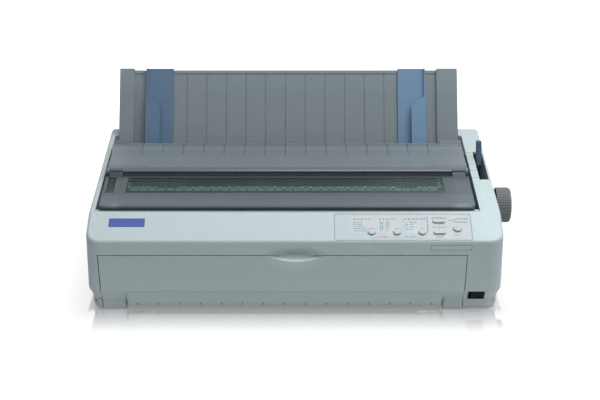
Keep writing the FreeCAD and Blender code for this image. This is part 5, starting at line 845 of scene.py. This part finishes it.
def floor_finish():
    """Pale floor, white to the camera, that keeps the shadow and mirrors the model's foot."""
    material, tree, shader = new_material("floor_white")
    foot_low, foot_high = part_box("lower_case")
    centre = (foot_low + foot_high) / 2
    half = (foot_high - foot_low) / 2
    place = vector_node(tree, "SUBTRACT", object_place(tree), (centre.x, centre.y, 0))
    outside = vector_node(tree, "SUBTRACT", vector_node(tree, "ABSOLUTE", place), (half.x, half.y, 0))
    distance = vector_node(tree, "LENGTH", vector_node(tree, "MAXIMUM", outside, (0, 0, 0)))
    feed(tree, shader.inputs["Base Color"], (*[FLOOR_GREY] * 3, 1))
    feed(tree, shader.inputs["Roughness"], FLOOR_ROUGH)
    mirror = tree.nodes.new("ShaderNodeBsdfAnisotropic")
    feed(tree, mirror.inputs["Roughness"], MIRROR_ROUGH)

    # The mirror fades with the distance from the foot, and behind the foot's front edge
    y = split_axes(tree, place)["Y"]
    under = math_node(tree, "MAXIMUM", value_map(tree, y, -half.y, -half.y + UNDER_REACH, 1.0, UNDER_POLISH),
                      value_map(tree, distance, 0.0, UNDER_EDGE, 0.0, 1.0))
    sheen = value_map(tree, distance, 0.0, POLISH_REACH, POLISH, 0.0)
    polish = tree.nodes.new("ShaderNodeMixShader")
    feed(tree, polish.inputs["Fac"], math_node(tree, "MULTIPLY", sheen, under))
    feed(tree, polish.inputs[1], shader.outputs["BSDF"])
    feed(tree, polish.inputs[2], mirror.outputs["BSDF"])

    glow = tree.nodes.new("ShaderNodeEmission")
    seen = tree.nodes.new("ShaderNodeLightPath").outputs["Is Camera Ray"]
    strength = value_map(tree, distance, 0.0, GLOW_REACH, GLOW_NEAR, 1.0)
    feed(tree, glow.inputs["Strength"], math_node(tree, "MULTIPLY", strength, seen))
    total = tree.nodes.new("ShaderNodeAddShader")
    feed(tree, total.inputs[0], polish.outputs["Shader"])
    feed(tree, total.inputs[1], glow.outputs["Emission"])
    feed(tree, tree.nodes["Material Output"].inputs["Surface"], total.outputs["Shader"])
    return material


floor_mesh = bpy.data.meshes.new("floor")
floor_mesh.from_pydata([(-FLOOR_SIZE, -FLOOR_SIZE, 0), (FLOOR_SIZE, -FLOOR_SIZE, 0),
                        (FLOOR_SIZE, FLOOR_SIZE * 2, 0), (-FLOOR_SIZE, FLOOR_SIZE * 2, 0)], [], [(0, 1, 2, 3)])
floor_mesh.materials.append(floor_finish())
floor = bpy.data.objects.new("floor", floor_mesh)
bpy.context.scene.collection.objects.link(floor)

# Plain light from the world, which is white where the camera, gloss or glass sees it
world = bpy.data.worlds.new("world")
bpy.context.scene.world = world
world.use_nodes = True
tree = world.node_tree
ambient = tree.nodes["Background"]
white = tree.nodes.new("ShaderNodeBackground")
for background, strength in ((ambient, AMBIENT), (white, 1.0)):
    feed(tree, background.inputs["Color"], (1, 1, 1, 1))
    feed(tree, background.inputs["Strength"], strength)
rays = tree.nodes.new("ShaderNodeLightPath").outputs
mirrored = math_node(tree, "MAXIMUM", rays["Is Glossy Ray"], rays["Is Transmission Ray"])
mix = tree.nodes.new("ShaderNodeMixShader")
feed(tree, mix.inputs["Fac"], math_node(tree, "MAXIMUM", rays["Is Camera Ray"], mirrored))
feed(tree, mix.inputs[1], ambient.outputs["Background"])
feed(tree, mix.inputs[2], white.outputs["Background"])
feed(tree, tree.nodes["World Output"].inputs["Surface"], mix.outputs["Shader"])

for name, place, width, height, energy in (("top_light", (0.9, 0.1, 2.5), 3.0, 2.4, 58),
                                           ("front_light", (1.6, -2.3, 1.3), 1.4, 1.2, 3)):
    light = bpy.data.lights.new(name, "AREA")
    light.shape = "RECTANGLE"
    light.size, light.size_y = width, height
    light.energy = energy
    obj = bpy.data.objects.new(name, light)
    obj.location = place
    obj.rotation_euler = (Vector(LIT_PLACE) - Vector(place)).to_track_quat("-Z", "Y").to_euler()
    bpy.context.scene.collection.objects.link(obj)
